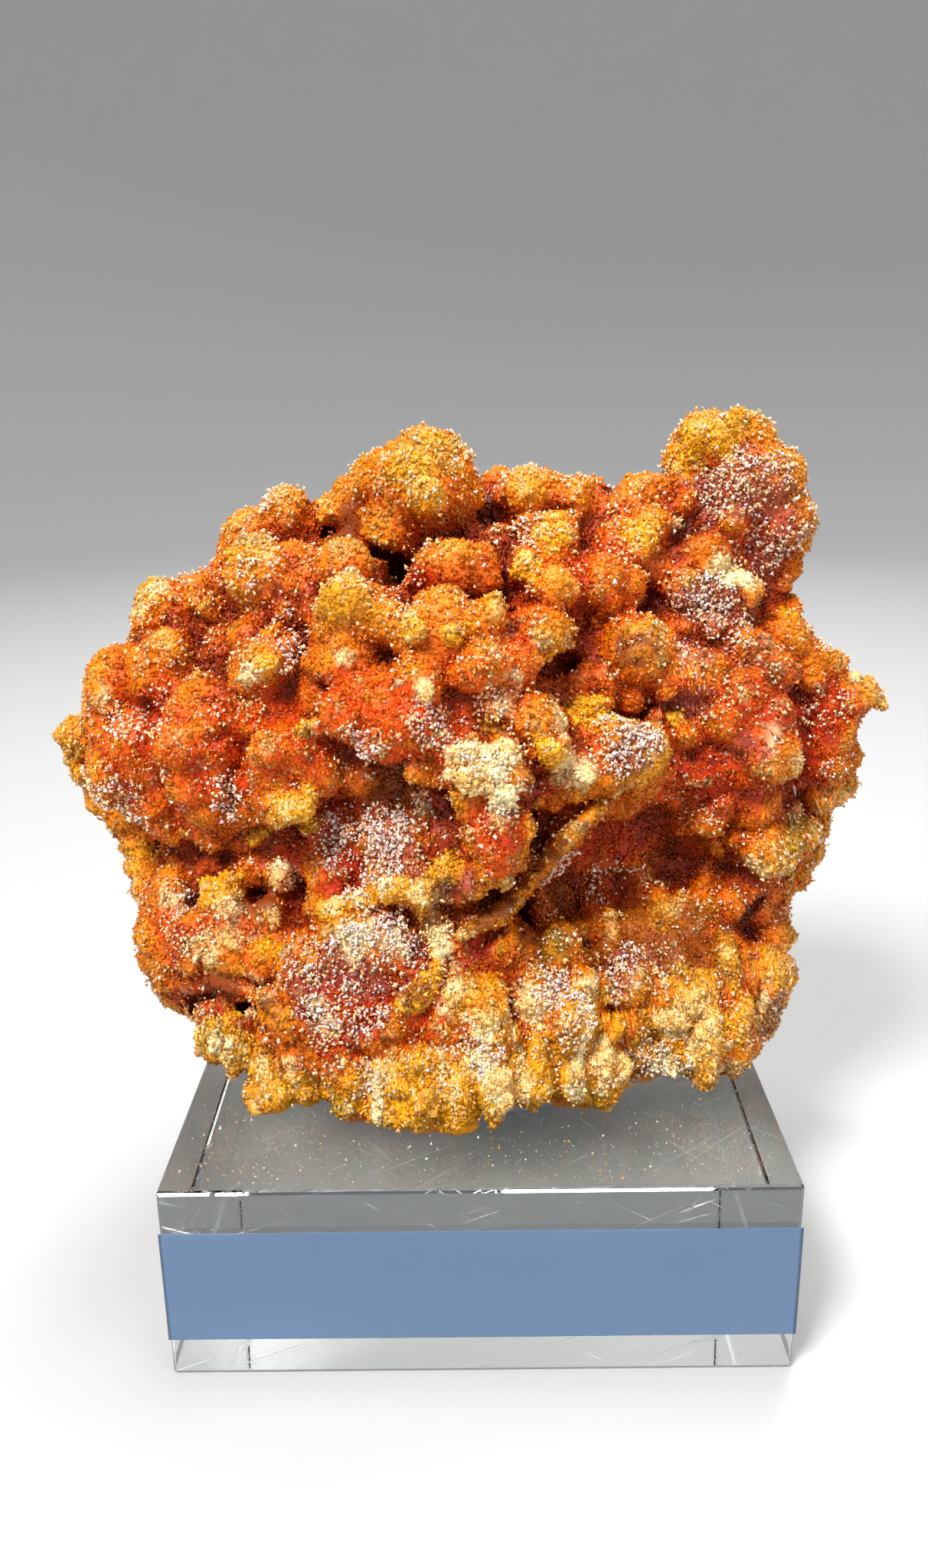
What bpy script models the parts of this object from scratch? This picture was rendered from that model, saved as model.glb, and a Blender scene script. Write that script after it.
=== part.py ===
"""Zincite specimen on a clear acrylic display block, in metres, Z up.

The origin is the middle of the block's underside, which stands on the table. X runs to the right
of the block's labelled face and Y runs away from it. The stone is one grown-together mass: a core,
round lobes on its skin, and hollows where the skin dips.
"""

import math

import bmesh
import bpy
import numpy as np
from mathutils import Matrix, Vector

MM = 0.001
GAP = 0.3 * MM

# Display block: a square of 20 mm cast acrylic, with its edges eased
BLOCK_WIDTH = 60 * MM
BLOCK_DEPTH = 60 * MM
BLOCK_HEIGHT = 20.5 * MM
BLOCK_EDGE = 0.35 * MM

# Label strip: 12 mm tape across the whole front face
LABEL_HEIGHT = 12 * MM
LABEL_THICKNESS = 0.15 * MM
LABEL_LOW_EDGE = 4.35 * MM

# Clear mounting pad, pressed out between the block and the stone
PAD_MIDDLE = (3 * MM, -1 * MM)
PAD_RADII = (18.5 * MM, 16.5 * MM)
PAD_HEIGHT = 1.6 * MM
PAD_WAVES = ((3, 0.05, 0.4), (5, 0.03, 1.9), (8, 0.012, 0.7))
PAD_POINTS = 56
PAD_ROOM = 0.45 * MM
PAD_SHOULDERS = ((0.0, 0.965), (0.2, 1.0), (0.75, 0.985), (1.0, 0.93))

# Stone: what its mesh is made from
LOWEST_POINT = BLOCK_HEIGHT + GAP
GRAIN = 0.9 * MM
SWELLING_FINENESS = 4
LOBE_FINENESS = 2
STONE_TRIANGLES = 9000

# Place from which the stone was measured, in metres and degrees, and the picture's size in pixels
EYE = Vector((0.0, -0.129, 0.0911))
EYE_DOWN, EYE_LEFT, EYE_TILT = 17.57, 0.49, 0.915
FOCAL_PIXELS = 1640
PICTURE = (1212, 2048)
RIM_DEPTH = 2 * MM

# Core: middle and half sizes of each swelling in millimetres
CORE = (
    ((0, 7, 51), (30, 18, 24)),
    ((-5, 2, 60), (24, 14, 15)),
    ((-26, 3, 55), (9, 10, 12)),
    ((-28, 4, 46), (7, 9, 9)),
    ((26, 5, 55), (10, 11, 15)),
    ((30, 5, 46), (6, 9, 9)),
    ((26, 6, 77), (6, 6, 7)),
    ((-4, 5, 75), (8, 7, 8)),
    ((-18, 0, 33), (14, 12, 12)),
    ((-18, -3, 27), (12, 12, 8)),
    ((17, 1, 32), (13, 13, 12)),
    ((22, -1, 27), (10, 12, 8)),
    ((-3, -5, 27), (21, 14, 12)),
    ((0, 16, 46), (26, 12, 24)),
    ((5, 8, 68), (22, 12, 13)),
    ((-16, 7, 67), (13, 11, 10)),
    ((25, 8, 69), (9, 10, 10)),
    ((-33, 4, 57), (7, 9, 8)),
    ((34, 6, 56), (6, 9, 10)),
    ((-31, 1, 33), (5, 9, 9)),
)

# Large swellings in front: x, y and radius in pixels, and how proud of the core each stands, in mm
SWELLINGS = (
    (372, 700, 58, 3), (315, 724, 34, 2), (350, 768, 50, 4), (452, 752, 48, 5), (268, 812, 56, 3),
    (207, 808, 34, 1), (460, 836, 60, 5), (348, 880, 52, 4), (225, 882, 50, 3), (160, 902, 46, 1),
    (187, 990, 58, 3), (124, 968, 34, 0), (140, 1016, 32, 0), (270, 966, 56, 4), (385, 990, 58, 5),
    (235, 1058, 46, 2), (310, 1040, 50, 4), (166, 1058, 34, 0), (552, 642, 78, 4), (590, 750, 46, 5),
    (500, 702, 44, 4),
    (690, 656, 46, 3), (755, 666, 42, 3), (835, 696, 60, 4), (705, 747, 52, 5), (780, 762, 46, 4),
    (560, 842, 52, 6), (625, 862, 56, 6), (545, 940, 56, 6), (700, 832, 46, 5), (470, 930, 50, 5),
    (600, 970, 52, 6), (640, 1015, 58, 7), (650, 1098, 50, 7), (775, 990, 60, 5), (700, 950, 50, 6),
    (828, 850, 54, 5), (962, 642, 90, 2), (935, 598, 56, 1), (930, 742, 48, 2), (900, 842, 40, 3),
    (895, 930, 46, 3), (950, 802, 46, 3), (1028, 872, 50, 2), (960, 900, 56, 3), (1074, 925, 46, 1),
    (985, 982, 58, 3), (1072, 1008, 42, 0), (1040, 1108, 42, 0), (1000, 1090, 46, 1),
    (982, 1192, 50, 1), (982, 1280, 54, 2), (960, 1350, 42, 1), (237, 1200, 54, 1),
    (300, 1230, 60, 3), (330, 1142, 44, 2), (252, 1152, 34, 1), (440, 1112, 50, 3),
    (540, 1122, 60, 4), (470, 1250, 88, 4), (302, 1350, 44, 1), (390, 1384, 50, 1),
    (480, 1404, 56, 2), (570, 1410, 58, 2), (660, 1400, 56, 2), (750, 1388, 54, 2),
    (840, 1370, 50, 2), (916, 1350, 50, 2), (620, 1312, 60, 2), (720, 1302, 60, 2),
    (820, 1302, 50, 1), (898, 1292, 52, 2), (476, 652, 42, 2), (512, 622, 46, 2),
    (882, 716, 46, 2), (238, 1286, 40, 0), (226, 1240, 46, 0), (206, 1214, 26, 0),
)

# Lobes that show in front: x and y of the middle and the radius in the picture's pixels
LEFT_SHOULDER = (
    (376, 674, 34), (330, 704, 38), (402, 690, 24), (303, 716, 20), (340, 748, 42),
    (387, 740, 34), (298, 768, 28), (452, 744, 42), (484, 738, 26), (274, 790, 42),
    (246, 774, 24), (210, 792, 30), (186, 808, 14), (198, 828, 22), (274, 828, 36),
    (216, 852, 28), (385, 808, 34), (412, 784, 22), (352, 800, 24), (462, 810, 44),
    (452, 864, 38), (502, 802, 26), (345, 870, 28), (322, 886, 20), (340, 924, 30),
)
LEFT_WING = (
    (156, 884, 36), (132, 908, 20), (182, 868, 24), (142, 942, 28), (102, 962, 20),
    (102, 988, 16), (116, 1012, 16), (182, 977, 40), (152, 1012, 32), (200, 1032, 38),
    (140, 1048, 18), (262, 927, 36), (225, 907, 28), (245, 975, 34), (290, 977, 32),
    (310, 1012, 34), (270, 1042, 32), (222, 1072, 28), (166, 1076, 22), (190, 1098, 18),
    (385, 977, 42), (350, 1002, 30), (415, 1002, 32), (372, 1036, 34), (330, 1052, 28),
)
TOP_MIDDLE = (
    (552, 634, 64), (502, 638, 36), (476, 652, 26), (562, 594, 30), (528, 600, 28),
    (600, 642, 34), (502, 690, 34), (531, 712, 22), (566, 702, 34), (606, 690, 30),
    (448, 660, 22), (590, 745, 38), (560, 762, 24), (622, 752, 28), (500, 612, 26),
)
TOP_RIGHT = (
    (688, 644, 34), (716, 648, 34), (664, 652, 24), (752, 654, 30), (722, 700, 32),
    (785, 662, 18), (829, 656, 30), (812, 664, 24), (858, 644, 26), (844, 690, 30),
    (800, 702, 28), (762, 702, 28), (838, 730, 40), (785, 750, 28), (689, 740, 24),
    (650, 722, 28), (711, 767, 28), (750, 772, 26), (539, 824, 32), (585, 830, 28),
    (618, 814, 28), (560, 862, 28), (510, 872, 26), (630, 864, 34), (704, 830, 24),
    (755, 808, 22), (828, 847, 42), (862, 872, 28), (752, 900, 24), (697, 897, 16),
)
MIDDLE_BAND = (
    (553, 904, 20), (540, 937, 40), (500, 922, 28), (455, 937, 30), (510, 962, 32),
    (575, 962, 30), (560, 1002, 28), (636, 1008, 44), (604, 985, 24), (650, 1095, 42),
    (642, 1134, 20), (774, 928, 24), (798, 916, 14), (716, 982, 28), (751, 1012, 34),
    (700, 942, 32), (650, 947, 28), (830, 987, 36), (800, 962, 24), (700, 1032, 26),
)
KNOB = (
    (926, 582, 48), (968, 580, 46), (902, 600, 34), (1006, 624, 46), (972, 642, 50),
    (1014, 682, 46), (902, 647, 36), (940, 682, 40), (985, 722, 34), (1012, 736, 30),
    (926, 727, 30), (925, 782, 34), (962, 772, 28), (1014, 767, 16), (1028, 800, 20),
    (884, 794, 24), (892, 842, 26), (900, 902, 26), (880, 952, 24),
)
RIGHT_WING = (
    (1025, 850, 34), (1000, 874, 34), (955, 852, 34), (960, 912, 36), (1058, 866, 26),
    (1070, 910, 36), (1098, 906, 20), (1120, 908, 18), (1136, 914, 18), (1114, 886, 7),
    (1080, 952, 34), (1088, 990, 28), (1074, 1030, 28), (1062, 1076, 20), (985, 937, 40),
    (935, 987, 36), (1000, 987, 34), (985, 1047, 32), (1042, 1094, 22), (1036, 1142, 22),
    (1010, 1112, 34), (985, 1180, 34), (1006, 1220, 26), (998, 1270, 34), (988, 1322, 30),
)
LEFT_FOOT = (
    (256, 1152, 26), (232, 1192, 32), (210, 1222, 26), (224, 1252, 28), (335, 1137, 30),
    (300, 1192, 30), (260, 1222, 34), (300, 1247, 36), (322, 1280, 26), (380, 1162, 26),
    (362, 1212, 30), (430, 1082, 30), (450, 1132, 30), (400, 1250, 34), (502, 1082, 32),
    (540, 1102, 30), (520, 1142, 30), (575, 1142, 28), (562, 1182, 24), (460, 1232, 42),
    (520, 1232, 34), (430, 1292, 38), (490, 1292, 38), (460, 1338, 26),
)
FOOT_RIM = (
    (278, 1346, 22), (306, 1368, 22), (350, 1382, 30), (400, 1394, 30), (450, 1412, 30),
    (500, 1432, 30), (550, 1436, 32), (600, 1434, 32), (650, 1424, 32), (700, 1412, 32),
    (745, 1414, 32), (790, 1404, 30), (835, 1390, 28), (880, 1380, 30), (922, 1370, 30),
    (960, 1350, 30), (380, 1362, 30), (430, 1372, 34), (520, 1372, 36), (580, 1352, 38),
    (640, 1342, 38), (700, 1332, 38), (760, 1332, 36), (820, 1312, 36), (880, 1302, 38),
    (940, 1290, 36), (610, 1272, 30), (660, 1262, 32), (720, 1262, 32), (800, 1262, 28),
)
LOBE_GROUPS = (
    LEFT_SHOULDER, LEFT_WING, TOP_MIDDLE, TOP_RIGHT, MIDDLE_BAND, KNOB, RIGHT_WING,
    LEFT_FOOT, FOOT_RIM,
)
LOBE_SUNK = 0.3

# Ridges and lips: the points that each runs through and its half width, in pixels
DIAGONAL_RIDGE = (((628, 1212), (664, 1178), (704, 1138), (736, 1098), (782, 1056)), 13)
SHELL_RIM = (((420, 1186), (470, 1168), (530, 1166), (568, 1200), (570, 1248), (544, 1306)), 13)
FOOT_LIP = (((212, 1288), (262, 1280), (330, 1298), (400, 1336), (470, 1358), (516, 1344)), 13)
RIDGES = ((DIAGONAL_RIDGE, 2.0 * MM), (SHELL_RIM, 1.6 * MM), (FOOT_LIP, 1.6 * MM))
RIDGE_STEP = 0.5
RIDGE_HEIGHTS = (0, 0.5, 1)

# Hollows: x, y and radius in pixels. Each is a ball with its middle on the skin.
UNDER_RIDGE = ((846, 1122, 80), (786, 1164, 62), (905, 1170, 62), (736, 1206, 40), (915, 1092, 46))
TOP_CLEFT = ((440, 702, 12), (468, 712, 13), (498, 730, 15), (526, 750, 17), (552, 776, 12))
PITS = ((654, 809, 19), (718, 872, 26), (275, 864, 15), (336, 1176, 17), (296, 1320, 22))
SIDE_CLEFT = ((1040, 1006, 12), (1042, 1034, 13), (1036, 1060, 12))
HOLLOW_GROUPS = (UNDER_RIDGE, TOP_CLEFT, PITS, SIDE_CLEFT)

# Swellings and lobes on the sides and the back that the picture doesn't show, spread about the core
BACK_MIDDLE = (0, 6 * MM, 48 * MM)
BACK_FACE_FROM = -0.05
BACK_SWELLINGS = 48
BACK_SWELLING_RADIUS = (4.5 * MM, 9.0 * MM)
BACK_SWELLINGS_SUNK = 0.4
BACK_LOBES = 260
BACK_LOBE_RADIUS = (1.9 * MM, 4.0 * MM)
BACK_JITTER = 0.16
BACK_SEED = 11


def clear_scene():
    for thing in list(bpy.data.objects):
        bpy.data.objects.remove(thing)


def finish(name, hex_colour, roughness, transmission=0.0, ior=1.5):
    """A plain Principled material from an sRGB hex colour."""
    material = bpy.data.materials.new(name)
    material.use_nodes = True
    shader = material.node_tree.nodes["Principled BSDF"]
    srgb = [int(hex_colour[i : i + 2], 16) / 255 for i in (0, 2, 4)]
    linear = [c / 12.92 if c <= 0.04045 else ((c + 0.055) / 1.055) ** 2.4 for c in srgb]
    shader.inputs["Base Color"].default_value = (*linear, 1)
    shader.inputs["Roughness"].default_value = roughness
    shader.inputs["Metallic"].default_value = 0.0
    shader.inputs["Transmission Weight"].default_value = transmission
    shader.inputs["IOR"].default_value = ior
    return material


def object_from(name, mesh_builder, material):
    """A named object from a filled bmesh."""
    mesh = bpy.data.meshes.new(name)
    mesh_builder.to_mesh(mesh)
    mesh_builder.free()
    mesh.materials.append(material)
    made = bpy.data.objects.new(name, mesh)
    bpy.context.scene.collection.objects.link(made)
    return made


def eye_axes():
    """Right, up and forward of the eye, as unit vectors."""
    down, left, tilt = (math.radians(a) for a in (EYE_DOWN, EYE_LEFT, EYE_TILT))
    forward = Vector((-math.sin(left) * math.cos(down), math.cos(left) * math.cos(down), -math.sin(down)))
    right = Vector((math.cos(left), math.sin(left), 0))
    up = right.cross(forward)
    return (
        right * math.cos(tilt) - up * math.sin(tilt),
        right * math.sin(tilt) + up * math.cos(tilt),
        forward,
    )


RIGHT, UP, FORWARD = eye_axes()


def sight(px, py):
    """The line of sight through a pixel, one metre long along the eye's own direction."""
    across = (px - PICTURE[0] / 2) / FOCAL_PIXELS
    upward = (PICTURE[1] / 2 - py) / FOCAL_PIXELS
    return FORWARD + RIGHT * across + UP * upward


def meets(start, line, half):
    """The near and far reaches at which a line from a start beside an ellipsoid's middle meets it."""
    a_vec = Vector(line[i] / half[i] for i in range(3))
    s_vec = Vector(start[i] / half[i] for i in range(3))
    a, b, c = a_vec.dot(a_vec), a_vec.dot(s_vec), s_vec.dot(s_vec) - 1
    if b * b <= a * c:
        return None
    root = math.sqrt(b * b - a * c)
    return (-b - root) / a, (-b + root) / a


def first_reach(line, shapes):
    """How far along a line of sight the nearest of the shapes lies, or the rim's depth beside them."""
    found = (meets(EYE - middle, line, half) for middle, half in shapes)
    return min((pair[0] for pair in found if pair), default=(RIM_DEPTH - EYE.y) / line.y)


def core_shapes():
    return [(Vector(middle) * MM, Vector(halves) * MM) for middle, halves in CORE]


def front_shapes():
    """The core with its large swellings: the skin on which the lobes sit."""
    core = core_shapes()
    swellings = []
    for px, py, radius, proud in SWELLINGS:
        line = sight(px, py)
        reach = first_reach(line, core)
        real = radius / FOCAL_PIXELS * reach
        swellings.append((EYE + line * (reach - proud * MM + real), Vector((real, real, real))))
    return core + swellings


def ball_at(px, py, radius, sunk, skin):
    """Middle and radius in metres of a ball at a pixel of the skin, sunk by a share of its radius."""
    line = sight(px, py)
    reach = first_reach(line, skin)
    real = radius / FOCAL_PIXELS * reach
    return EYE + line * (reach + sunk * real), real


def along(points, step):
    """Points at even steps along a line of pixels."""
    found = []
    for start, end in zip(points, points[1:]):
        count = max(1, round(math.dist(start, end) / step))
        for i in range(count):
            share = i / count
            found.append((start[0] + share * (end[0] - start[0]), start[1] + share * (end[1] - start[1])))
    return found + [points[-1]]


def back_balls(count, radii, sunk, skin, chance):
    """Balls on the side of a skin that faces away, at turns of the golden angle shaken a little."""
    middle = Vector(BACK_MIDDLE)
    balls = []
    for i in range(count):
        height = 1 - 2 * (i + 0.5) / count
        turn = i * math.pi * (3 - math.sqrt(5))
        flat = math.sqrt(1 - height * height)
        shake = Vector(chance.normal(0, BACK_JITTER, 3))
        outward = (Vector((flat * math.cos(turn), flat * math.sin(turn), height)) + shake).normalized()
        radius = float(chance.uniform(*radii))
        if outward.y < BACK_FACE_FROM:
            continue
        found = (meets(middle - centre, outward, half) for centre, half in skin)
        far = max(pair[1] for pair in found if pair)
        balls.append((middle + outward * (far - sunk * radius), Vector((radius, radius, radius))))
    return balls


def add_ball(builder, middle, radii, fineness):
    shape = Matrix.Translation(middle) @ Matrix.Diagonal((*radii, 1))
    bmesh.ops.create_icosphere(builder, subdivisions=fineness, radius=1, matrix=shape)


def merge_balls(target, grain):
    """Grows overlapping balls together into one skin."""
    skin = target.modifiers.new("grown together", "REMESH")
    skin.mode = "VOXEL"
    skin.voxel_size = grain


def cut(target, cutter, label):
    cutter.hide_render = True
    cutter.display_type = "WIRE"
    cutting = target.modifiers.new(label, "BOOLEAN")
    cutting.operation = "DIFFERENCE"
    cutting.object = cutter
    cutting.solver = "EXACT"


def pad_outline(grown):
    """The pad's wavy outline as unit shares of its two radii, made wider by a margin in metres."""
    ring = []
    for i in range(PAD_POINTS):
        turn = 2 * math.pi * i / PAD_POINTS
        wave = 1 + sum(size * math.sin(n * turn + start) for n, size, start in PAD_WAVES)
        ring.append((
            PAD_MIDDLE[0] + math.cos(turn) * (PAD_RADII[0] * wave + grown),
            PAD_MIDDLE[1] + math.sin(turn) * (PAD_RADII[1] * wave + grown),
        ))
    return ring


def pad_solid(low, height, grown):
    """Rings of the wavy outline, drawn in a little at the foot and the top, bridged and capped."""
    builder = bmesh.new()
    rings = []
    for share, width in PAD_SHOULDERS:
        ring = [
            builder.verts.new((
                PAD_MIDDLE[0] + (x - PAD_MIDDLE[0]) * width,
                PAD_MIDDLE[1] + (y - PAD_MIDDLE[1]) * width,
                low + share * height,
            ))
            for x, y in pad_outline(grown)
        ]
        rings.append(ring)
    for lower, upper in zip(rings, rings[1:]):
        for i in range(PAD_POINTS):
            j = (i + 1) % PAD_POINTS
            builder.faces.new((lower[i], lower[j], upper[j], upper[i]))
    builder.faces.new(rings[0][::-1])
    builder.faces.new(rings[-1])
    return builder


def make_block():
    builder = bmesh.new()
    bmesh.ops.create_cube(builder, size=1)
    bmesh.ops.scale(builder, vec=(BLOCK_WIDTH, BLOCK_DEPTH, BLOCK_HEIGHT), verts=builder.verts)
    bmesh.ops.translate(builder, vec=(0, 0, BLOCK_HEIGHT / 2), verts=builder.verts)
    block = object_from("display_block", builder, finish("clear cast acrylic", "F2F6F4", 0.02, 1.0, 1.49))
    eased = block.modifiers.new("eased edges", "BEVEL")
    eased.width = BLOCK_EDGE
    eased.segments = 2
    return block


def make_label():
    builder = bmesh.new()
    bmesh.ops.create_cube(builder, size=1)
    bmesh.ops.scale(builder, vec=(BLOCK_WIDTH, LABEL_THICKNESS, LABEL_HEIGHT), verts=builder.verts)
    place = (0, -BLOCK_DEPTH / 2 - GAP - LABEL_THICKNESS / 2, LABEL_LOW_EDGE + LABEL_HEIGHT / 2)
    bmesh.ops.translate(builder, vec=place, verts=builder.verts)
    return object_from("label_strip", builder, finish("frosted label tape", "D8DEEA", 0.4, 0.3))


def make_pad():
    builder = pad_solid(BLOCK_HEIGHT + GAP, PAD_HEIGHT, 0)
    return object_from("mounting_pad", builder, finish("clear mounting gel", "F4F6FA", 0.08, 0.9, 1.41))


def make_hollows(skin):
    builder = bmesh.new()
    for group in HOLLOW_GROUPS:
        for px, py, radius in group:
            middle, real = ball_at(px, py, radius, 0, skin)
            add_ball(builder, middle, (real, real, real), LOBE_FINENESS)
    hollows = object_from("hollows", builder, finish("guide", "808080", 0.5))
    merge_balls(hollows, GRAIN)
    return hollows


def make_foot_cutter():
    """A slab that takes off whatever hangs below the block's top."""
    builder = bmesh.new()
    bmesh.ops.create_cube(builder, size=1)
    bmesh.ops.scale(builder, vec=(2 * BLOCK_WIDTH, 2 * BLOCK_DEPTH, BLOCK_HEIGHT), verts=builder.verts)
    bmesh.ops.translate(builder, vec=(0, 0, LOWEST_POINT - BLOCK_HEIGHT / 2), verts=builder.verts)
    return object_from("foot_cutter", builder, finish("foot guide", "808080", 0.5))


def make_pad_cutter():
    """The room that the pad takes in the stone's underside, with the gap all round."""
    builder = pad_solid(BLOCK_HEIGHT, PAD_HEIGHT + GAP + PAD_ROOM, PAD_ROOM)
    return object_from("pad_cutter", builder, finish("pad guide", "808080", 0.5))


def make_stone():
    builder = bmesh.new()
    skin = front_shapes()
    for middle, halves in skin:
        add_ball(builder, middle, halves, SWELLING_FINENESS)
    for group in LOBE_GROUPS:
        for px, py, radius in group:
            middle, real = ball_at(px, py, radius, LOBE_SUNK, skin)
            add_ball(builder, middle, (real, real, real), LOBE_FINENESS)
    for (points, radius), proud in RIDGES:
        for px, py in along(points, radius * RIDGE_STEP):
            middle, real = ball_at(px, py, radius, 0, skin)
            for share in RIDGE_HEIGHTS:
                foot = middle - sight(px, py) * proud * share
                add_ball(builder, foot, (real, real, real), LOBE_FINENESS)
    chance = np.random.default_rng(BACK_SEED)
    core = core_shapes()
    behind = back_balls(BACK_SWELLINGS, BACK_SWELLING_RADIUS, BACK_SWELLINGS_SUNK, core, chance)
    behind += back_balls(BACK_LOBES, BACK_LOBE_RADIUS, LOBE_SUNK, core + behind, chance)
    for middle, halves in behind:
        add_ball(builder, middle, halves, LOBE_FINENESS)
    stone = object_from("zincite", builder, finish("zincite druse", "C8641A", 0.35, 0.1, 2.01))
    merge_balls(stone, GRAIN)
    cut(stone, make_hollows(skin), "hollows")
    merge_balls(stone, GRAIN)
    fine = stone.evaluated_get(bpy.context.evaluated_depsgraph_get()).data
    fine.calc_loop_triangles()
    thinned = stone.modifiers.new("fewer faces", "DECIMATE")
    thinned.ratio = STONE_TRIANGLES / len(fine.loop_triangles)
    thinned.use_collapse_triangulate = True
    cut(stone, make_foot_cutter(), "foot")
    cut(stone, make_pad_cutter(), "room for the pad")
    return stone


clear_scene()
make_block()
make_label()
make_pad()
make_stone()
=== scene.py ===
"""Zincite specimen on its clear acrylic display block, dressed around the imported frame, in metres, Z up.

From the table upwards: the acrylic block, the strip of label tape, the gel pad, the stone's skin, its
druse of small crystals, and last the table, the light and the camera.
"""

import math

import bmesh
import bpy
import numpy as np
from mathutils import Matrix, Vector


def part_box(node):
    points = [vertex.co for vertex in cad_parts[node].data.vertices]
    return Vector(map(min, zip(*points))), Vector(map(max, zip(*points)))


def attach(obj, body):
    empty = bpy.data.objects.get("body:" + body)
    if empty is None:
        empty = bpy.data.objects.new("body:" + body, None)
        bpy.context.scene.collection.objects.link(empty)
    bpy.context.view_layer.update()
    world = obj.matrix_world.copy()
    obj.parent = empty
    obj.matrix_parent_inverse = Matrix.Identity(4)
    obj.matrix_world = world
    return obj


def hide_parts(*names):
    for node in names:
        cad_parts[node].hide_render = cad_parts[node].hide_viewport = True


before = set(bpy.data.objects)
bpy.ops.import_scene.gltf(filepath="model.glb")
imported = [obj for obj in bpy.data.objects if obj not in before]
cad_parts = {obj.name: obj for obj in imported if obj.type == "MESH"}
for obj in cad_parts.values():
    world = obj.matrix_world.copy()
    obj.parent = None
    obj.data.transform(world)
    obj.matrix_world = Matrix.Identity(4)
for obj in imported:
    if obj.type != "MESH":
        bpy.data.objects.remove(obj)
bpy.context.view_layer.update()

# Display block
# A square of 20 mm cast acrylic, sawn, polished and eased at its edges. It stands loose on the table
# and carries everything else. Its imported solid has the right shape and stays, with a finish of its own.
MM = 0.001
BLOCK_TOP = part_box("display_block")[1][2] / MM


def linear(hex_colour):
    """An sRGB hex colour as linear red, green, blue and alpha."""
    srgb = np.array([int(hex_colour[i : i + 2], 16) for i in (0, 2, 4)]) / 255
    curve = np.where(srgb <= 0.04045, srgb / 12.92, ((srgb + 0.055) / 1.055) ** 2.4)
    return (*curve.tolist(), 1.0)


def node(material, kind, links=(), **settings):
    """Adds one node. Settings name an input or a property, and links are (input, output socket) pairs."""
    made = material.node_tree.nodes.new(kind)
    give(made, settings)
    for name, socket in links:
        material.node_tree.links.new(socket, made.inputs[name])
    return made


def give(made, settings):
    """Gives a node its settings, where a name's underlines stand for the spaces in an input's name."""
    for name, value in settings.items():
        spoken = name.replace("_", " ")
        if spoken in made.inputs:
            made.inputs[spoken].default_value = value
        else:
            setattr(made, name, value)


def finish_named(name, **settings):
    """A new material, and its Principled shader with these settings."""
    material = bpy.data.materials.new(name)
    material.use_nodes = True
    shader = material.node_tree.nodes["Principled BSDF"]
    give(shader, settings)
    return material, shader


# Clear cast acrylic: polished, water-clear with a trace of green, and dulled by fine wiping scratches
acrylic, shader = finish_named(
    "polished clear cast acrylic", Base_Color=linear("F6FAF8"), Transmission_Weight=1.0, IOR=1.49
)
place = node(acrylic, "ShaderNodeTexCoord").outputs["Object"]
# Three ways the cloth went: how each is turned, and its hairlines' length and width. Real ones are finer than
# a tenth of a millimetre, and these are drawn 0.3 to 0.4 mm wide so that they show.
WIPES = (
    ((-0.5, -0.35, 0.0), 30 * MM, 0.4 * MM), ((0.6, 0.22, 0.4), 20 * MM, 0.3 * MM),
    ((0.4, -1.0, 0.2), 16 * MM, 0.35 * MM),
)
CLEAR, DULLED = 0.015, 0.28
dull = []
for turned, long, wide in WIPES:
    laid = node(
        acrylic, "ShaderNodeMapping", [("Vector", place)],
        vector_type="TEXTURE", Rotation=turned, Scale=(long, long, wide),
    )
    hairlines = node(acrylic, "ShaderNodeTexNoise", [("Vector", laid.outputs[0])], Scale=1.0, Detail=2.0)
    dull.append(node(
        acrylic, "ShaderNodeMapRange", [("Value", hairlines.outputs["Fac"])],
        From_Min=0.645, From_Max=0.74, To_Min=CLEAR, To_Max=DULLED,
    ))
rough = dull[0]
for more in dull[1:]:
    either = [(0, rough.outputs[0]), (1, more.outputs[0])]
    rough = node(acrylic, "ShaderNodeMath", either, operation="MAXIMUM")
acrylic.node_tree.links.new(rough.outputs[0], shader.inputs["Roughness"])
scratched = node(acrylic, "ShaderNodeBump", [("Height", rough.outputs[0])], Strength=0.25, Distance=0.05 * MM)
acrylic.node_tree.links.new(scratched.outputs[0], shader.inputs["Normal"])
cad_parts["display_block"].data.materials.clear()
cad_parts["display_block"].data.materials.append(acrylic)


# Label
# One length of frosted, see-through 12 mm polyester label tape, stuck across the block's front face by its
# own adhesive. It is left blank. Its cut ends reach the block's sides, and it doesn't lie quite flat.
TAPE_LOW, TAPE_HIGH = (np.array(corner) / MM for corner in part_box("label_strip"))


def mesh_from(name, points, faces, material):
    """An object whose mesh has these points, in millimetres, and these faces, all with as many corners."""
    mesh = bpy.data.meshes.new(name)
    mesh.vertices.add(len(points))
    mesh.vertices.foreach_set("co", (points * MM).astype(np.float32).ravel())
    mesh.loops.add(faces.size)
    mesh.loops.foreach_set("vertex_index", faces.astype(np.int32).ravel())
    mesh.polygons.add(len(faces))
    mesh.polygons.foreach_set("loop_start", np.arange(0, faces.size, faces.shape[1], dtype=np.int32))
    mesh.update(calc_edges=True)
    mesh.materials.append(material)
    made = bpy.data.objects.new(name, mesh)
    bpy.context.scene.collection.objects.link(made)
    return made


def tube_faces(rows, columns):
    """Quads of a grid of points numbered row by row, with its last column joined to its first."""
    number = np.arange(rows * columns).reshape(rows, columns)
    after = np.roll(number, -1, 1)
    return np.stack((number[:-1], after[:-1], after[1:], number[1:]), 2).reshape(-1, 4)


def sew(piece):
    """Makes one of points that coincide, at a pole or along a tube's pressed end, and shades it smooth."""
    shell = bmesh.new()
    shell.from_mesh(piece.data)
    bmesh.ops.remove_doubles(shell, verts=shell.verts, dist=0.001 * MM)
    shell.to_mesh(piece.data)
    shell.free()
    piece.data.polygons.foreach_set("use_smooth", np.ones(len(piece.data.polygons), bool))


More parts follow.
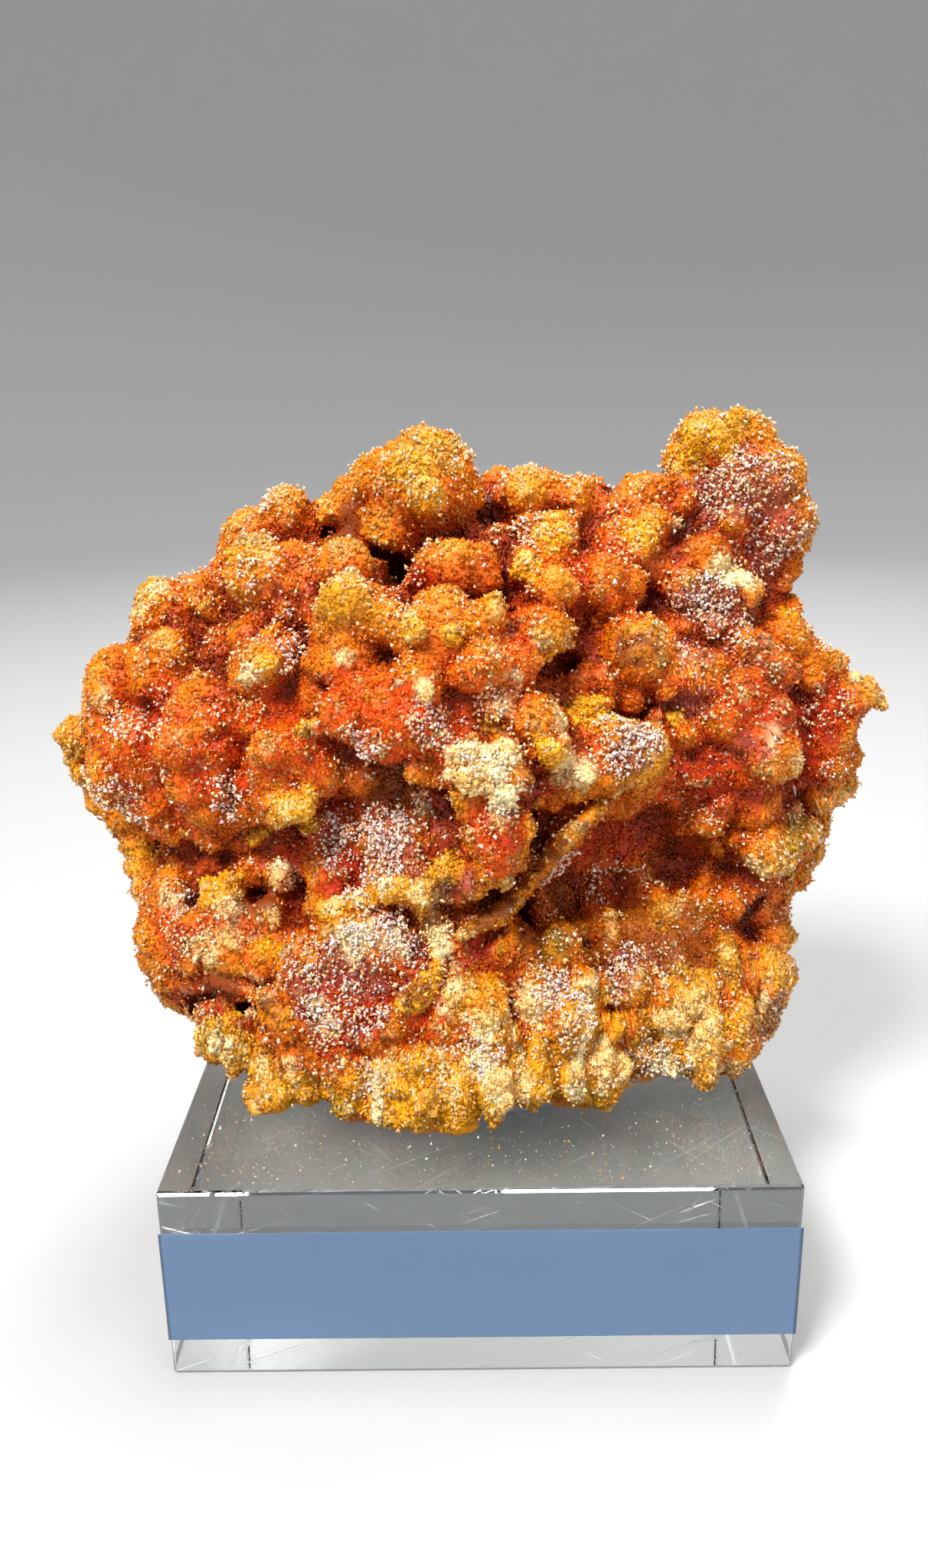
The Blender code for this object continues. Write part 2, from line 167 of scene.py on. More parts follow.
# A flat tube: at each step along x, a long thin rounded section in y and z, bent by two waves, with both ends
# pressed to a line
TAPE_STEPS, TAPE_ROUND = 121, 96
TAPE_THICK, TAPE_CORNER, TAPE_PROUD = 0.12, 0.35, 0.03
along = np.linspace(TAPE_LOW[0], TAPE_HIGH[0], TAPE_STEPS)
turn = np.linspace(0, 2 * np.pi, TAPE_ROUND, endpoint=False)
tape_middle, tape_half = (TAPE_LOW + TAPE_HIGH) / 2, (TAPE_HIGH - TAPE_LOW) / 2
z = tape_half[2] * np.sign(np.cos(turn)) * np.abs(np.cos(turn)) ** TAPE_CORNER
y = TAPE_THICK / 2 * np.sign(np.sin(turn)) * np.abs(np.sin(turn)) ** TAPE_CORNER
x, z = np.broadcast_arrays(along[:, None], z[None])
wave = 0.018 * np.sin(x / 7.1 + 0.25 * z) + 0.006 * np.sin(x / 2.9 - 0.4 * z + 1.0)
pressed = np.ones(TAPE_STEPS)
pressed[[0, -1]] = 0.0
tape_points = np.stack((
    x, tape_middle[1] - TAPE_PROUD + wave + y[None] * pressed[:, None], z + tape_middle[2]
), 2)
# Frosted polyester tape: a milky film with a faint blue cast and a soft sheen
tape_finish, shader = finish_named(
    "frosted polyester label tape",
    Base_Color=linear("7B9AC0"), Roughness=0.32, IOR=1.5, Transmission_Weight=0.62,
)
tape_faces = tube_faces(TAPE_STEPS, TAPE_ROUND)[:, ::-1]
label = mesh_from("label_tape", tape_points.reshape(-1, 3), tape_faces, tape_finish)
sew(label)
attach(label, "root")
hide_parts("label_strip")

# Mounting gel
# A bit of clear gel, pressed flat between the block and the stone's foot until its rounded edge bulged out.
# It holds by its own tack.
PAD_LOW, PAD_HIGH = (np.array(corner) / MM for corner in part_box("mounting_pad"))
PAD_ROUND = 120
CLEARANCE = 0.02
turn = np.linspace(0, 2 * np.pi, PAD_ROUND, endpoint=False)
# From the middle of the underside out to the half round of the rim and back to the middle of the top
half_round = np.linspace(-np.pi / 2, np.pi / 2, 13)
reach = np.concatenate(([0.0, 0.4, 0.8], 0.93 + 0.07 * np.cos(half_round), [0.8, 0.4, 0.0]))
rise = np.concatenate(([0.0, 0.0, 0.0], 0.5 + 0.5 * np.sin(half_round), [1.0, 1.0, 1.0]))
ripple = 1 + 0.04 * np.cos(3 * turn + 0.4) + 0.02 * np.cos(5 * turn + 1.9) + 0.012 * np.cos(8 * turn + 0.7)
ripple /= ripple.max()
middle, half, bottom = (PAD_LOW + PAD_HIGH) / 2, (PAD_HIGH - PAD_LOW) / 2, BLOCK_TOP + CLEARANCE
pad_points = np.stack((
    middle[0] + half[0] * reach[:, None] * (ripple * np.cos(turn))[None],
    middle[1] + half[1] * reach[:, None] * (ripple * np.sin(turn))[None],
    np.broadcast_to((bottom + rise * (PAD_HIGH[2] - bottom))[:, None], (len(rise), PAD_ROUND)),
), 2)
# Clear gel: wet-looking and soft, with a faint milky blue where its edge catches the light
gel, shader = finish_named(
    "clear mounting gel", Base_Color=linear("CBD6EE"), Roughness=0.12, IOR=1.41, Transmission_Weight=0.6
)
pad = mesh_from("mounting_gel", pad_points.reshape(-1, 3), tube_faces(len(rise), PAD_ROUND), gel)
sew(pad)
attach(pad, "root")
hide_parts("mounting_pad")

# Stone
# One grown-together mass of zincite: round lobes on a core, with hollows between them, held at its foot by
# the gel. Lengths are in mm until they become a mesh. What shows in front is placed by pixels of the picture,
# along lines of sight from the eye.
EYE = np.array((0.0, -129.0, 91.1))
# Degrees that the eye looks down and to the left, and that its picture is tilted
EYE_DOWN, EYE_LEFT, EYE_TILT = np.radians((17.57, 0.49, 0.915))
FOCAL_PIXELS = 1640
PICTURE = np.array((1212, 2048))
# How far back the stone's outline lies, for a line of sight that passes beside the core
RIM_DEPTH = 2
# Ellipsoids of the core: middle and half widths
CORE = (
    ((0, 7, 51), (30, 18, 24)), ((-5, 2, 60), (24, 14, 15)), ((-26, 3, 55), (9, 10, 12)),
    ((-28, 4, 46), (7, 9, 9)), ((26, 5, 55), (10, 11, 15)), ((30, 5, 46), (6, 9, 9)),
    ((26, 6, 77), (6, 6, 7)), ((-4, 5, 75), (8, 7, 8)), ((-18, 0, 33), (14, 12, 12)),
    ((-18, -3, 27), (12, 12, 8)), ((17, 1, 32), (13, 13, 12)), ((22, -1, 27), (10, 12, 8)),
    ((-3, -5, 27), (21, 14, 12)), ((0, 16, 46), (26, 12, 24)), ((5, 8, 68), (22, 12, 13)),
    ((-16, 7, 67), (13, 11, 10)), ((25, 8, 69), (9, 10, 10)), ((-33, 4, 57), (7, 9, 8)),
    ((34, 6, 56), (6, 9, 10)), ((-31, 1, 33), (5, 9, 9)),
)
# Large swellings in front: x, y and radius in pixels, and how proud of the core each stands, in mm
SWELLINGS = (
    (372, 700, 58, 3), (315, 724, 34, 2), (350, 768, 50, 4), (452, 752, 48, 5), (268, 812, 56, 3),
    (207, 808, 34, 1), (460, 836, 60, 5), (348, 880, 52, 4), (225, 882, 50, 3), (160, 902, 46, 1),
    (187, 990, 58, 3), (124, 968, 34, 0), (140, 1016, 32, 0), (270, 966, 56, 4), (385, 990, 58, 5),
    (235, 1058, 46, 2), (310, 1040, 50, 4), (166, 1058, 34, 0), (552, 642, 78, 4), (590, 750, 46, 5),
    (500, 702, 44, 4), (690, 656, 46, 3), (755, 666, 42, 3), (835, 696, 60, 4), (705, 747, 52, 5),
    (780, 762, 46, 4), (560, 842, 52, 6), (625, 862, 56, 6), (545, 940, 56, 6), (700, 832, 46, 5),
    (470, 930, 50, 5), (600, 970, 52, 6), (640, 1015, 58, 7), (650, 1098, 50, 7), (775, 990, 60, 5),
    (700, 950, 50, 6), (828, 850, 54, 5), (962, 642, 90, 2), (935, 598, 56, 1), (930, 742, 48, 2),
    (900, 842, 40, 3), (895, 930, 46, 3), (950, 802, 46, 3), (1028, 872, 50, 2), (960, 900, 56, 3),
    (1074, 925, 46, 1), (985, 982, 58, 3), (1072, 1008, 42, 0), (1040, 1108, 42, 0), (1000, 1090, 46, 1),
    (982, 1192, 50, 1), (982, 1280, 54, 2), (960, 1350, 42, 1), (237, 1200, 54, 1), (300, 1230, 60, 3),
    (330, 1142, 44, 2), (252, 1152, 34, 1), (440, 1112, 50, 3), (540, 1122, 60, 4), (470, 1250, 88, 4),
    (302, 1350, 44, 1), (390, 1384, 50, 1), (480, 1404, 56, 2), (570, 1410, 58, 2), (660, 1400, 56, 2),
    (750, 1388, 54, 2), (840, 1370, 50, 2), (916, 1350, 50, 2), (620, 1312, 60, 2), (720, 1302, 60, 2),
    (820, 1302, 50, 1), (898, 1292, 52, 2), (476, 652, 42, 2), (512, 622, 46, 2), (882, 716, 46, 2),
    (238, 1286, 40, 0), (226, 1240, 46, 0), (206, 1214, 26, 0),
)
# Lobes that show in front: x and y of the middle and the radius in pixels
LEFT_SHOULDER = (
    (376, 674, 34), (330, 704, 38), (402, 690, 24), (303, 716, 20), (340, 748, 42), (387, 740, 34),
    (298, 768, 28), (452, 744, 42), (484, 738, 26), (274, 790, 42), (246, 774, 24), (210, 792, 30),
    (186, 808, 14), (198, 828, 22), (274, 828, 36), (216, 852, 28), (385, 808, 34), (412, 784, 22),
    (352, 800, 24), (462, 810, 44), (452, 864, 38), (502, 802, 26), (345, 870, 28), (322, 886, 20),
    (340, 924, 30),
)
LEFT_WING = (
    (156, 884, 36), (132, 908, 20), (182, 868, 24), (142, 942, 28), (102, 962, 20), (102, 988, 16),
    (116, 1012, 16), (182, 977, 40), (152, 1012, 32), (200, 1032, 38), (140, 1048, 18), (262, 927, 36),
    (225, 907, 28), (245, 975, 34), (290, 977, 32), (310, 1012, 34), (270, 1042, 32), (222, 1072, 28),
    (166, 1076, 22), (190, 1098, 18), (385, 977, 42), (350, 1002, 30), (415, 1002, 32), (372, 1036, 34),
    (330, 1052, 28),
)
TOP_MIDDLE = (
    (552, 634, 64), (502, 638, 36), (476, 652, 26), (562, 594, 30), (528, 600, 28), (600, 642, 34),
    (502, 690, 34), (531, 712, 22), (566, 702, 34), (606, 690, 30), (448, 660, 22), (590, 745, 38),
    (560, 762, 24), (622, 752, 28), (500, 612, 26),
)
TOP_RIGHT = (
    (688, 644, 34), (716, 648, 34), (664, 652, 24), (752, 654, 30), (722, 700, 32), (785, 662, 18),
    (829, 656, 30), (812, 664, 24), (858, 644, 26), (844, 690, 30), (800, 702, 28), (762, 702, 28),
    (838, 730, 40), (785, 750, 28), (689, 740, 24), (650, 722, 28), (711, 767, 28), (750, 772, 26),
    (539, 824, 32), (585, 830, 28), (618, 814, 28), (560, 862, 28), (510, 872, 26), (630, 864, 34),
    (704, 830, 24), (755, 808, 22), (828, 847, 42), (862, 872, 28), (752, 900, 24), (697, 897, 16),
)
MIDDLE_BAND = (
    (553, 904, 20), (540, 937, 40), (500, 922, 28), (455, 937, 30), (510, 962, 32), (575, 962, 30),
    (560, 1002, 28), (636, 1008, 44), (604, 985, 24), (650, 1095, 42), (642, 1134, 20), (774, 928, 24),
    (798, 916, 14), (716, 982, 28), (751, 1012, 34), (700, 942, 32), (650, 947, 28), (830, 987, 36),
    (800, 962, 24), (700, 1032, 26),
)
KNOB = (
    (926, 582, 48), (968, 580, 46), (902, 600, 34), (1006, 624, 46), (972, 642, 50), (1014, 682, 46),
    (902, 647, 36), (940, 682, 40), (985, 722, 34), (1012, 736, 30), (926, 727, 30), (925, 782, 34),
    (962, 772, 28), (1014, 767, 16), (1028, 800, 20), (884, 794, 24), (892, 842, 26), (900, 902, 26),
    (880, 952, 24),
)
RIGHT_WING = (
    (1025, 850, 34), (1000, 874, 34), (955, 852, 34), (960, 912, 36), (1058, 866, 26), (1070, 910, 36),
    (1098, 906, 20), (1120, 908, 18), (1136, 914, 18), (1114, 886, 7), (1080, 952, 34), (1088, 990, 28),
    (1074, 1030, 28), (1062, 1076, 20), (985, 937, 40), (935, 987, 36), (1000, 987, 34), (985, 1047, 32),
    (1042, 1094, 22), (1036, 1142, 22), (1010, 1112, 34), (985, 1180, 34), (1006, 1220, 26),
    (998, 1270, 34), (988, 1322, 30),
)
LEFT_FOOT = (
    (256, 1152, 26), (232, 1192, 32), (210, 1222, 26), (224, 1252, 28), (335, 1137, 30), (300, 1192, 30),
    (260, 1222, 34), (300, 1247, 36), (322, 1280, 26), (380, 1162, 26), (362, 1212, 30), (430, 1082, 30),
    (450, 1132, 30), (400, 1250, 34), (502, 1082, 32), (540, 1102, 30), (520, 1142, 30), (575, 1142, 28),
    (562, 1182, 24), (190, 1128, 26), (172, 1104, 18), (206, 1148, 24), (1132, 905, 20), (1118, 884, 9),
    (400, 1292, 26),
)
FOOT_RIM = (
    (278, 1346, 22), (306, 1368, 22), (350, 1382, 30), (400, 1394, 30), (450, 1412, 30), (500, 1432, 30),
    (550, 1436, 32), (600, 1434, 32), (650, 1424, 32), (700, 1412, 32), (745, 1414, 32), (790, 1404, 30),
    (835, 1390, 28), (880, 1380, 30), (922, 1370, 30), (960, 1350, 30), (380, 1362, 30), (430, 1372, 34),
    (520, 1372, 36), (580, 1352, 38), (640, 1342, 38), (700, 1332, 38), (760, 1332, 36), (820, 1312, 36),
    (880, 1302, 38), (940, 1290, 36), (610, 1272, 30), (660, 1262, 32), (720, 1262, 32), (800, 1262, 28),
)
# Lobes are sunk by this share of their radius and drawn this much wider, so that a mound of their width shows
LOBE_SUNK = 0.5
LOBE_WIDER = 1.25
# Ridges: points in pixels, then half width in pixels, how proud and how deep in mm, and blend in mm
DIAGONAL_RIDGE = (
    (604, 1222), (628, 1212), (664, 1178), (704, 1138), (736, 1098), (782, 1056),
)
SHELL_RIM = (
    (410, 1190), (465, 1182), (507, 1160), (541, 1168), (566, 1197), (574, 1232), (566, 1268), (548, 1306),
)
FOOT_LIP = (
    (212, 1288), (262, 1280), (330, 1298), (400, 1336), (470, 1358), (516, 1344),
)
RIDGES = ((DIAGONAL_RIDGE, 10, 2.9, 3.5, 0.4), (SHELL_RIM, 15, 0.8, 2.5, 0.6), (FOOT_LIP, 10, 0.6, 1.0, 0.6))
# Lobes that stand proud: x, y and radius in pixels, and how far towards the eye, in mm
PROUD = (
    (652, 1080, 34, 2.2), (630, 1090, 24, 2.0), (680, 1085, 22, 2.0), (650, 1108, 32, 2.4),
    (655, 1130, 25, 2.4), (660, 1148, 17, 2.3), (635, 1002, 30, 1.3), (612, 1026, 20, 1.5),
    (655, 985, 24, 1.5), (650, 1035, 20, 1.7), (605, 990, 16, 1.3), (667, 1010, 18, 1.4),
    (590, 1010, 11, 1.0), (620, 966, 12, 1.2), (646, 962, 11, 1.2), (682, 984, 11, 1.2),
    (686, 1020, 11, 1.1), (642, 1052, 11, 1.3), (596, 1042, 11, 1.0), (378, 1055, 22, 1.2),
    (398, 1042, 14, 1.2), (362, 1070, 15, 1.2), (335, 1096, 13, 0.9), (283, 1160, 22, 1.0),
    (270, 1180, 14, 0.9), (296, 1142, 14, 1.0), (775, 927, 24, 1.4), (792, 918, 14, 1.5),
    (715, 980, 24, 1.3), (740, 962, 14, 1.3), (583, 1133, 20, 0.8), (1112, 915, 26, 0.5),
    (1134, 910, 18, 0.5), (1148, 926, 12, 0.4), (1120, 888, 13, 0.5), (542, 1298, 20, 1.4),
    (528, 1312, 12, 1.3), (400, 950, 11, 1.0), (424, 668, 9, 0.8), (545, 824, 18, 0.8), (585, 830, 16, 0.8),
    (350, 870, 18, 0.8), (600, 1172, 26, 0.9), (572, 1194, 20, 0.6), (632, 1172, 22, 1.5),
    (616, 1150, 24, 1.2), (752, 1012, 22, 0.8), (730, 1020, 14, 0.8), (453, 866, 12, 0.4),
    (553, 902, 12, 0.4), (324, 884, 12, 0.4),
)
# Flat plates: x, y and radius in pixels, and how proud, in mm. Each is a disc a fifth as thick as it is wide
PLATES = (
    (466, 1252, 66, 0.8), (430, 1296, 54, 0.6), (528, 1222, 34, 1.1), (538, 1258, 28, 1.0),
    (492, 1194, 30, 2.0), (528, 1200, 28, 2.0), (592, 1208, 26, 1.4), (560, 1226, 24, 1.4),
    (522, 1112, 46, 0.0), (500, 1080, 34, 0.0), (640, 1190, 26, 0.8), (676, 1150, 22, 1.0),
    (712, 1112, 20, 1.2), (742, 1084, 18, 1.3),
)
# Where the plates are: x, y and radius in pixels
PLATE_AREAS = (
    (480, 1250, 90), (520, 1190, 60), (500, 1120, 50), (585, 1190, 45), (660, 1215, 45), (720, 1190, 30),
    (585, 1080, 34), (555, 1055, 34), (715, 1036, 26), (372, 1105, 34),
)
# Hollows, narrow clefts and small dimples: x, y and radius in pixels
HOLLOWS = (
    (800, 1116, 50), (850, 1100, 48), (760, 1158, 38), (820, 1158, 42), (885, 1130, 38),
)
# Bites out of the foot's edge, where the gel pad shows: x, y, z and radius in mm
BITES = (
    (1.8, -18.6, 20.8, 2.0), (4.2, -20.0, 20.9, 2.2), (6.6, -19.9, 20.9, 2.2), (8.8, -18.7, 20.8, 2.0),
    (15.9, -15.7, 20.8, 2.2), (18.2, -14.4, 20.9, 2.3), (20.4, -12.6, 20.8, 2.0),
)
CLEFTS = (
    (436, 700, 10), (452, 704, 12), (468, 712, 13), (484, 722, 14), (500, 733, 16), (520, 745, 18),
    (540, 758, 16), (556, 778, 11), (700, 866, 14), (718, 874, 18), (740, 868, 14), (296, 1318, 14),
    (320, 1322, 12), (270, 1314, 14), (248, 1312, 12), (340, 1326, 9),
)
DIMPLES = (
    (336, 1176, 13), (654, 809, 10), (1040, 1010, 9), (1040, 1050, 9), (623, 1228, 9), (618, 664, 8),
    (428, 905, 9), (690, 985, 8), (690, 1062, 9),
)
# The clefts are cut at these depths in turn, as shares of their radius
CLEFT_DEPTHS = (0, 0.9, 1.8)
# Balls on the far side point away from its middle, shaken a little. Those that face the front are left out.
BACK_MIDDLE = np.array((0.0, 6.0, 48.0))
BACK_FACE_FROM = -0.05
BACK_JITTER = 0.16
BACK_SEED = 11

FORWARD = np.array((
    -math.sin(EYE_LEFT) * math.cos(EYE_DOWN), math.cos(EYE_LEFT) * math.cos(EYE_DOWN), -math.sin(EYE_DOWN)
))
level = np.array((math.cos(EYE_LEFT), math.sin(EYE_LEFT), 0.0))
upright = np.cross(level, FORWARD)
RIGHT = level * math.cos(EYE_TILT) - upright * math.sin(EYE_TILT)
UP = level * math.sin(EYE_TILT) + upright * math.cos(EYE_TILT)


def sight(pixels):
    """Lines of sight through pixels: forward, plus right and up by a pixel's place over the focal length."""
    across, down = (np.atleast_2d(pixels)[:, :2] - PICTURE / 2).T / FOCAL_PIXELS
    return FORWARD + across[:, None] * RIGHT - down[:, None] * UP


def first_reach(lines, middles, halves):
    """Reach of the nearest ellipsoid on each line: the smaller root of a t*t + 2 b t + c = 0."""
    a_vec = lines[:, None] / halves
    s_vec = (EYE - middles) / halves
    a = (a_vec**2).sum(2)
    b = (a_vec * s_vec).sum(2)
    c = (s_vec**2).sum(1) - 1
    under = b * b - a * c
    reach = np.where(under > 0, (-b - np.sqrt(np.maximum(under, 0))) / a, np.inf).min(1)
    return np.where(np.isfinite(reach), reach, (RIM_DEPTH - EYE[1]) / lines[:, 1])


def on_skin(rows, sunk, middles, halves, wider=1.0):
    """Balls at pixels of a skin of ellipsoids, each sunk by a share of its radius. Those that stand on the
    skin may be drawn wider than their pixels, so that what shows of them is a mound."""
    rows = np.array(rows, float)
    lines = sight(rows)
    reach = first_reach(lines, middles, halves)
    beside = (RIM_DEPTH - EYE[1]) / lines[:, 1]
    radii = rows[:, 2] / FOCAL_PIXELS * reach * np.where(np.isclose(reach, beside), 1, wider)
    return EYE + lines * (reach + sunk * radii)[:, None], radii


def back_balls(count, least, most, sunk, middles, halves, chance):
    """Balls facing away from the eye, at turns of the golden angle shaken a little."""
    found = []
    for i in range(count):
        height = 1 - 2 * (i + 0.5) / count
        turn = i * math.pi * (3 - math.sqrt(5))
        flat = math.sqrt(1 - height * height)
        away = np.array((flat * math.cos(turn), flat * math.sin(turn), height))
        away += chance.normal(0, BACK_JITTER, 3)
        away /= np.linalg.norm(away)
        radius = chance.uniform(least, most)
        if away[1] < BACK_FACE_FROM:
            continue
        a_vec, s_vec = away / halves, (BACK_MIDDLE - middles) / halves
        a, b, c = (a_vec**2).sum(1), (a_vec * s_vec).sum(1), (s_vec**2).sum(1) - 1
        under = b * b - a * c
        far = ((-b + np.sqrt(np.maximum(under, 0))) / a)[under > 0].max()
        found.append((*(BACK_MIDDLE + away * (far - sunk * radius)), radius))
    found = np.array(found)
    return found[:, :3], found[:, 3]


core_middles, core_halves = (np.array([row[i] for row in CORE], float) for i in (0, 1))
rows = np.array(SWELLINGS, float)
lines = sight(rows)
reach = first_reach(lines, core_middles, core_halves)
swell_radii = rows[:, 2] / FOCAL_PIXELS * reach
swell_middles = EYE + lines * (reach - rows[:, 3] + swell_radii)[:, None]
skin_middles = np.vstack((core_middles, swell_middles))
skin_halves = np.vstack((core_halves, np.repeat(swell_radii[:, None], 3, 1)))
lobe_rows = LEFT_SHOULDER + LEFT_WING + TOP_MIDDLE + TOP_RIGHT + MIDDLE_BAND + KNOB + RIGHT_WING + LEFT_FOOT
foot_middles, foot_radii = on_skin(FOOT_RIM, 0.5, skin_middles, skin_halves)
lobe_middles, lobe_radii = on_skin(lobe_rows, LOBE_SUNK, skin_middles, skin_halves, LOBE_WIDER)
chance = np.random.default_rng(BACK_SEED)
behind, behind_radii = back_balls(48, 4.5, 9.0, 0.4, core_middles, core_halves, chance)
both = np.vstack((core_middles, behind)), np.vstack((core_halves, np.repeat(behind_radii[:, None], 3, 1)))
behind_lobes, behind_lobe_radii = back_balls(260, 1.9, 4.0, LOBE_SUNK, *both, chance)

# The stone is a field on a grid: the distance to the stone's surface, below zero inside it
STEP = 0.57
FAR = 4.0
LOW = np.array((-47.0, -25.5, 19.0))
HIGH = np.array((46.0, 36.0, 91.0))
AXES = [np.arange(low, high, STEP) for low, high in zip(LOW, HIGH)]
field = np.full([len(axis) for axis in AXES], FAR, np.float32)


def near(middle, reach):
    """The block of the grid within a reach of a point, and its offsets from the point as open arrays."""
    low = np.clip(np.floor((middle - reach - LOW) / STEP).astype(int), 0, None)
    high = np.clip(np.ceil((middle + reach - LOW) / STEP).astype(int) + 1, 0, field.shape)
    block = tuple(slice(a, b) for a, b in zip(low, high))
    offsets = [(axis[span] - m).astype(np.float32) for axis, span, m in zip(AXES, block, middle)]
    return block, np.ix_(*offsets)


def grow(middles, radii, blend):
    """Smooth minimum of the field and each ball or ellipsoid: min(f, d), less a fillet where the two are
    nearer than the blend."""
    for middle, radius in zip(middles, np.asarray(radii)):
        block, (x, y, z) = near(middle, radius + blend + 2 * STEP)
        a, b, c = radius
        scaled = np.sqrt((x / a) ** 2 + (y / b) ** 2 + (z / c) ** 2) + 1e-6
        slope = np.sqrt((x / a**2) ** 2 + (y / b**2) ** 2 + (z / c**2) ** 2) + 1e-6
        distance = scaled * (scaled - 1) / slope
        here = field[block]
        share = np.clip(0.5 + 0.5 * (here - distance) / blend, 0, 1)
        field[block] = here + (distance - here) * share - blend * share * (1 - share)


def carve(middles, radii, blend):
    """Smooth maximum of the field and the outside of each ball."""
    for middle, radius in zip(middles, radii):
        block, (x, y, z) = near(middle, radius + blend + 2 * STEP)
        distance = radius - np.sqrt(x * x + y * y + z * z)
        here = field[block]
        share = np.clip(0.5 + 0.5 * (distance - here) / blend, 0, 1)
        field[block] = here + (distance - here) * share + blend * share * (1 - share)


def thrice(radii):
    """Each radius three times over, as the half widths of a ball."""
    return np.repeat(np.asarray(radii)[:, None], 3, 1)


grow(core_middles, core_halves, 1.5)
grow(np.vstack((swell_middles, behind)), thrice(np.concatenate((swell_radii, behind_radii))), 0.9)
grow(np.vstack((lobe_middles, behind_lobes)), thrice(np.concatenate((lobe_radii, behind_lobe_radii))), 0.2)
grow(foot_middles, foot_radii[:, None] * (0.8, 1.05, 2.2), 0.8)
plate_middles, plate_radii = on_skin([row[:3] for row in PLATES], 0, skin_middles, skin_halves)
proud = np.array([row[3] for row in PLATES])
plate_middles -= sight([row[:2] for row in PLATES]) * (proud - 0.22 * plate_radii)[:, None]
grow(plate_middles, plate_radii[:, None] * (1, 0.22, 1), 0.6)


def surface_net(level):
    """Closed skin of the field's zero level. Each cell that the level crosses gets one point, the mean of the
    crossings on its edges, and each crossed grid edge gets one quad between the four cells round it."""
    inside = level < 0
    corners = [(i, j, k) for i in (0, 1) for j in (0, 1) for k in (0, 1)]
    cells = np.array(level.shape) - 1
    many, deep, high = cells
    count = sum(inside[i : i + many, j : j + deep, k : k + high].astype(np.int8) for i, j, k in corners)
    where = np.argwhere((count > 0) & (count < 8))
    number = np.full(cells, -1)
    number[tuple(where.T)] = np.arange(len(where))
    total, crossed = np.zeros((len(where), 3)), np.zeros(len(where))
    for axis in range(3):
        step = np.eye(3, dtype=int)[axis]
        for start in corners:
            if start[axis]:
                continue
            first, second = where + start, where + start + step
            a, b = level[tuple(first.T)], level[tuple(second.T)]
            cut = (a < 0) != (b < 0)
            share = np.where(cut, a / np.where(cut, a - b, 1), 0)
            total += (first + share[:, None] * step) * cut[:, None]
            crossed += cut
    points = LOW + STEP * total / crossed[:, None]
    quads = []
    for axis in range(3):
        u, v = (axis + 1) % 3, (axis + 2) % 3
        front = [slice(1, -1)] * 3
        front[axis] = slice(0, -1)
        after = list(front)
        after[axis] = slice(1, None)
        leaving = inside[tuple(front)] & ~inside[tuple(after)]
        entering = ~inside[tuple(front)] & inside[tuple(after)]
        for mask, order in ((leaving, 1), (entering, -1)):
            at = np.argwhere(mask) + 1
            at[:, axis] -= 1
            ring = []
            for du, dv in ((-1, -1), (0, -1), (0, 0), (-1, 0)):
                cell = at.copy()
                cell[:, u] += du
                cell[:, v] += dv
                ring.append(number[tuple(cell.T)])
            quads.append(np.stack(ring, 1)[:, ::order])
    return points, np.vstack(quads)


def largest(points, quads):
    """The largest closed piece of a net, without the specks and bubbles beside it. Each point takes the
    lowest number round it, and then that number's own, until all of a piece share one."""
    owner, settled = np.arange(len(points)), False
    while not settled:
        lower = owner.copy()
        np.minimum.at(lower, quads.ravel(), np.repeat(owner[quads].min(1), 4))
        lower = lower[lower]
        owner, settled = lower, np.array_equal(lower, owner)
    own = owner == np.bincount(owner).argmax()
    return points[own], (np.cumsum(own) - 1)[quads[own[quads[:, 0]]]]


def lattice_noise(seed, spacing):
    """Soft noise from -1 to 1 on the whole grid: random values a spacing apart, joined by smooth steps."""
    chance = np.random.default_rng(seed)
    steps = np.broadcast_to(spacing, 3)
    counts = [int((axis[-1] - axis[0]) / step) + 3 for axis, step in zip(AXES, steps)]
    values = chance.uniform(-1, 1, counts).astype(np.float32)
    for i, (axis, step) in enumerate(zip(AXES, steps)):
        at = (axis - axis[0]) / step
        low = at.astype(int)
        share = (at - low).astype(np.float32)
        share = share * share * (3 - 2 * share)
        shape = [1, 1, 1]
        shape[i] = -1
        share = share.reshape(shape)
        values = np.take(values, low, i) * (1 - share) + np.take(values, low + 1, i) * share
    return values


def sample(level, points):
    """The grid's value at points, weighted by nearness to the eight corners round each."""
    at = (points - LOW) / STEP
    at = np.clip(at, 0, np.array(level.shape) - 1.001)
    low = at.astype(int)
    share = at - low
    total = np.zeros(len(points))
    for i in (0, 1):
        for j in (0, 1):
            for k in (0, 1):
                weight = np.abs((1 - i, 1 - j, 1 - k) - share).prod(1)
                total += weight * level[low[:, 0] + i, low[:, 1] + j, low[:, 2] + k]
    return total


def outward(level, points):
    """Unit slope of the grid at points, from differences half a step either way."""
    slope = np.stack([
        sample(level, points + 0.5 * STEP * unit) - sample(level, points - 0.5 * STEP * unit)
        for unit in np.eye(3)
    ], 1)
    return slope / (np.linalg.norm(slope, axis=1, keepdims=True) + 1e-9)


def blurred(values, reach):
    """Mean over a cube of the grid, three times over, which is near a Gaussian blur."""
    width = 2 * int(round(reach / STEP)) + 1
    for _ in range(3):
        for axis in range(3):
            padded = np.concatenate([np.repeat(np.take(values, [0], axis), width // 2 + 1, axis), values,
                                     np.repeat(np.take(values, [-1], axis), width // 2, axis)], axis)
            run = np.cumsum(padded, axis, dtype=np.float64)
            count = values.shape[axis]
            total = np.take(run, range(width, width + count), axis) - np.take(run, range(count), axis)
            values = (total / width).astype(np.float32)
    return values


SIGHT_FROM, SIGHT_TO, SIGHT_MISSED, SIGHT_STEP = 90, 185, 128, 0.2


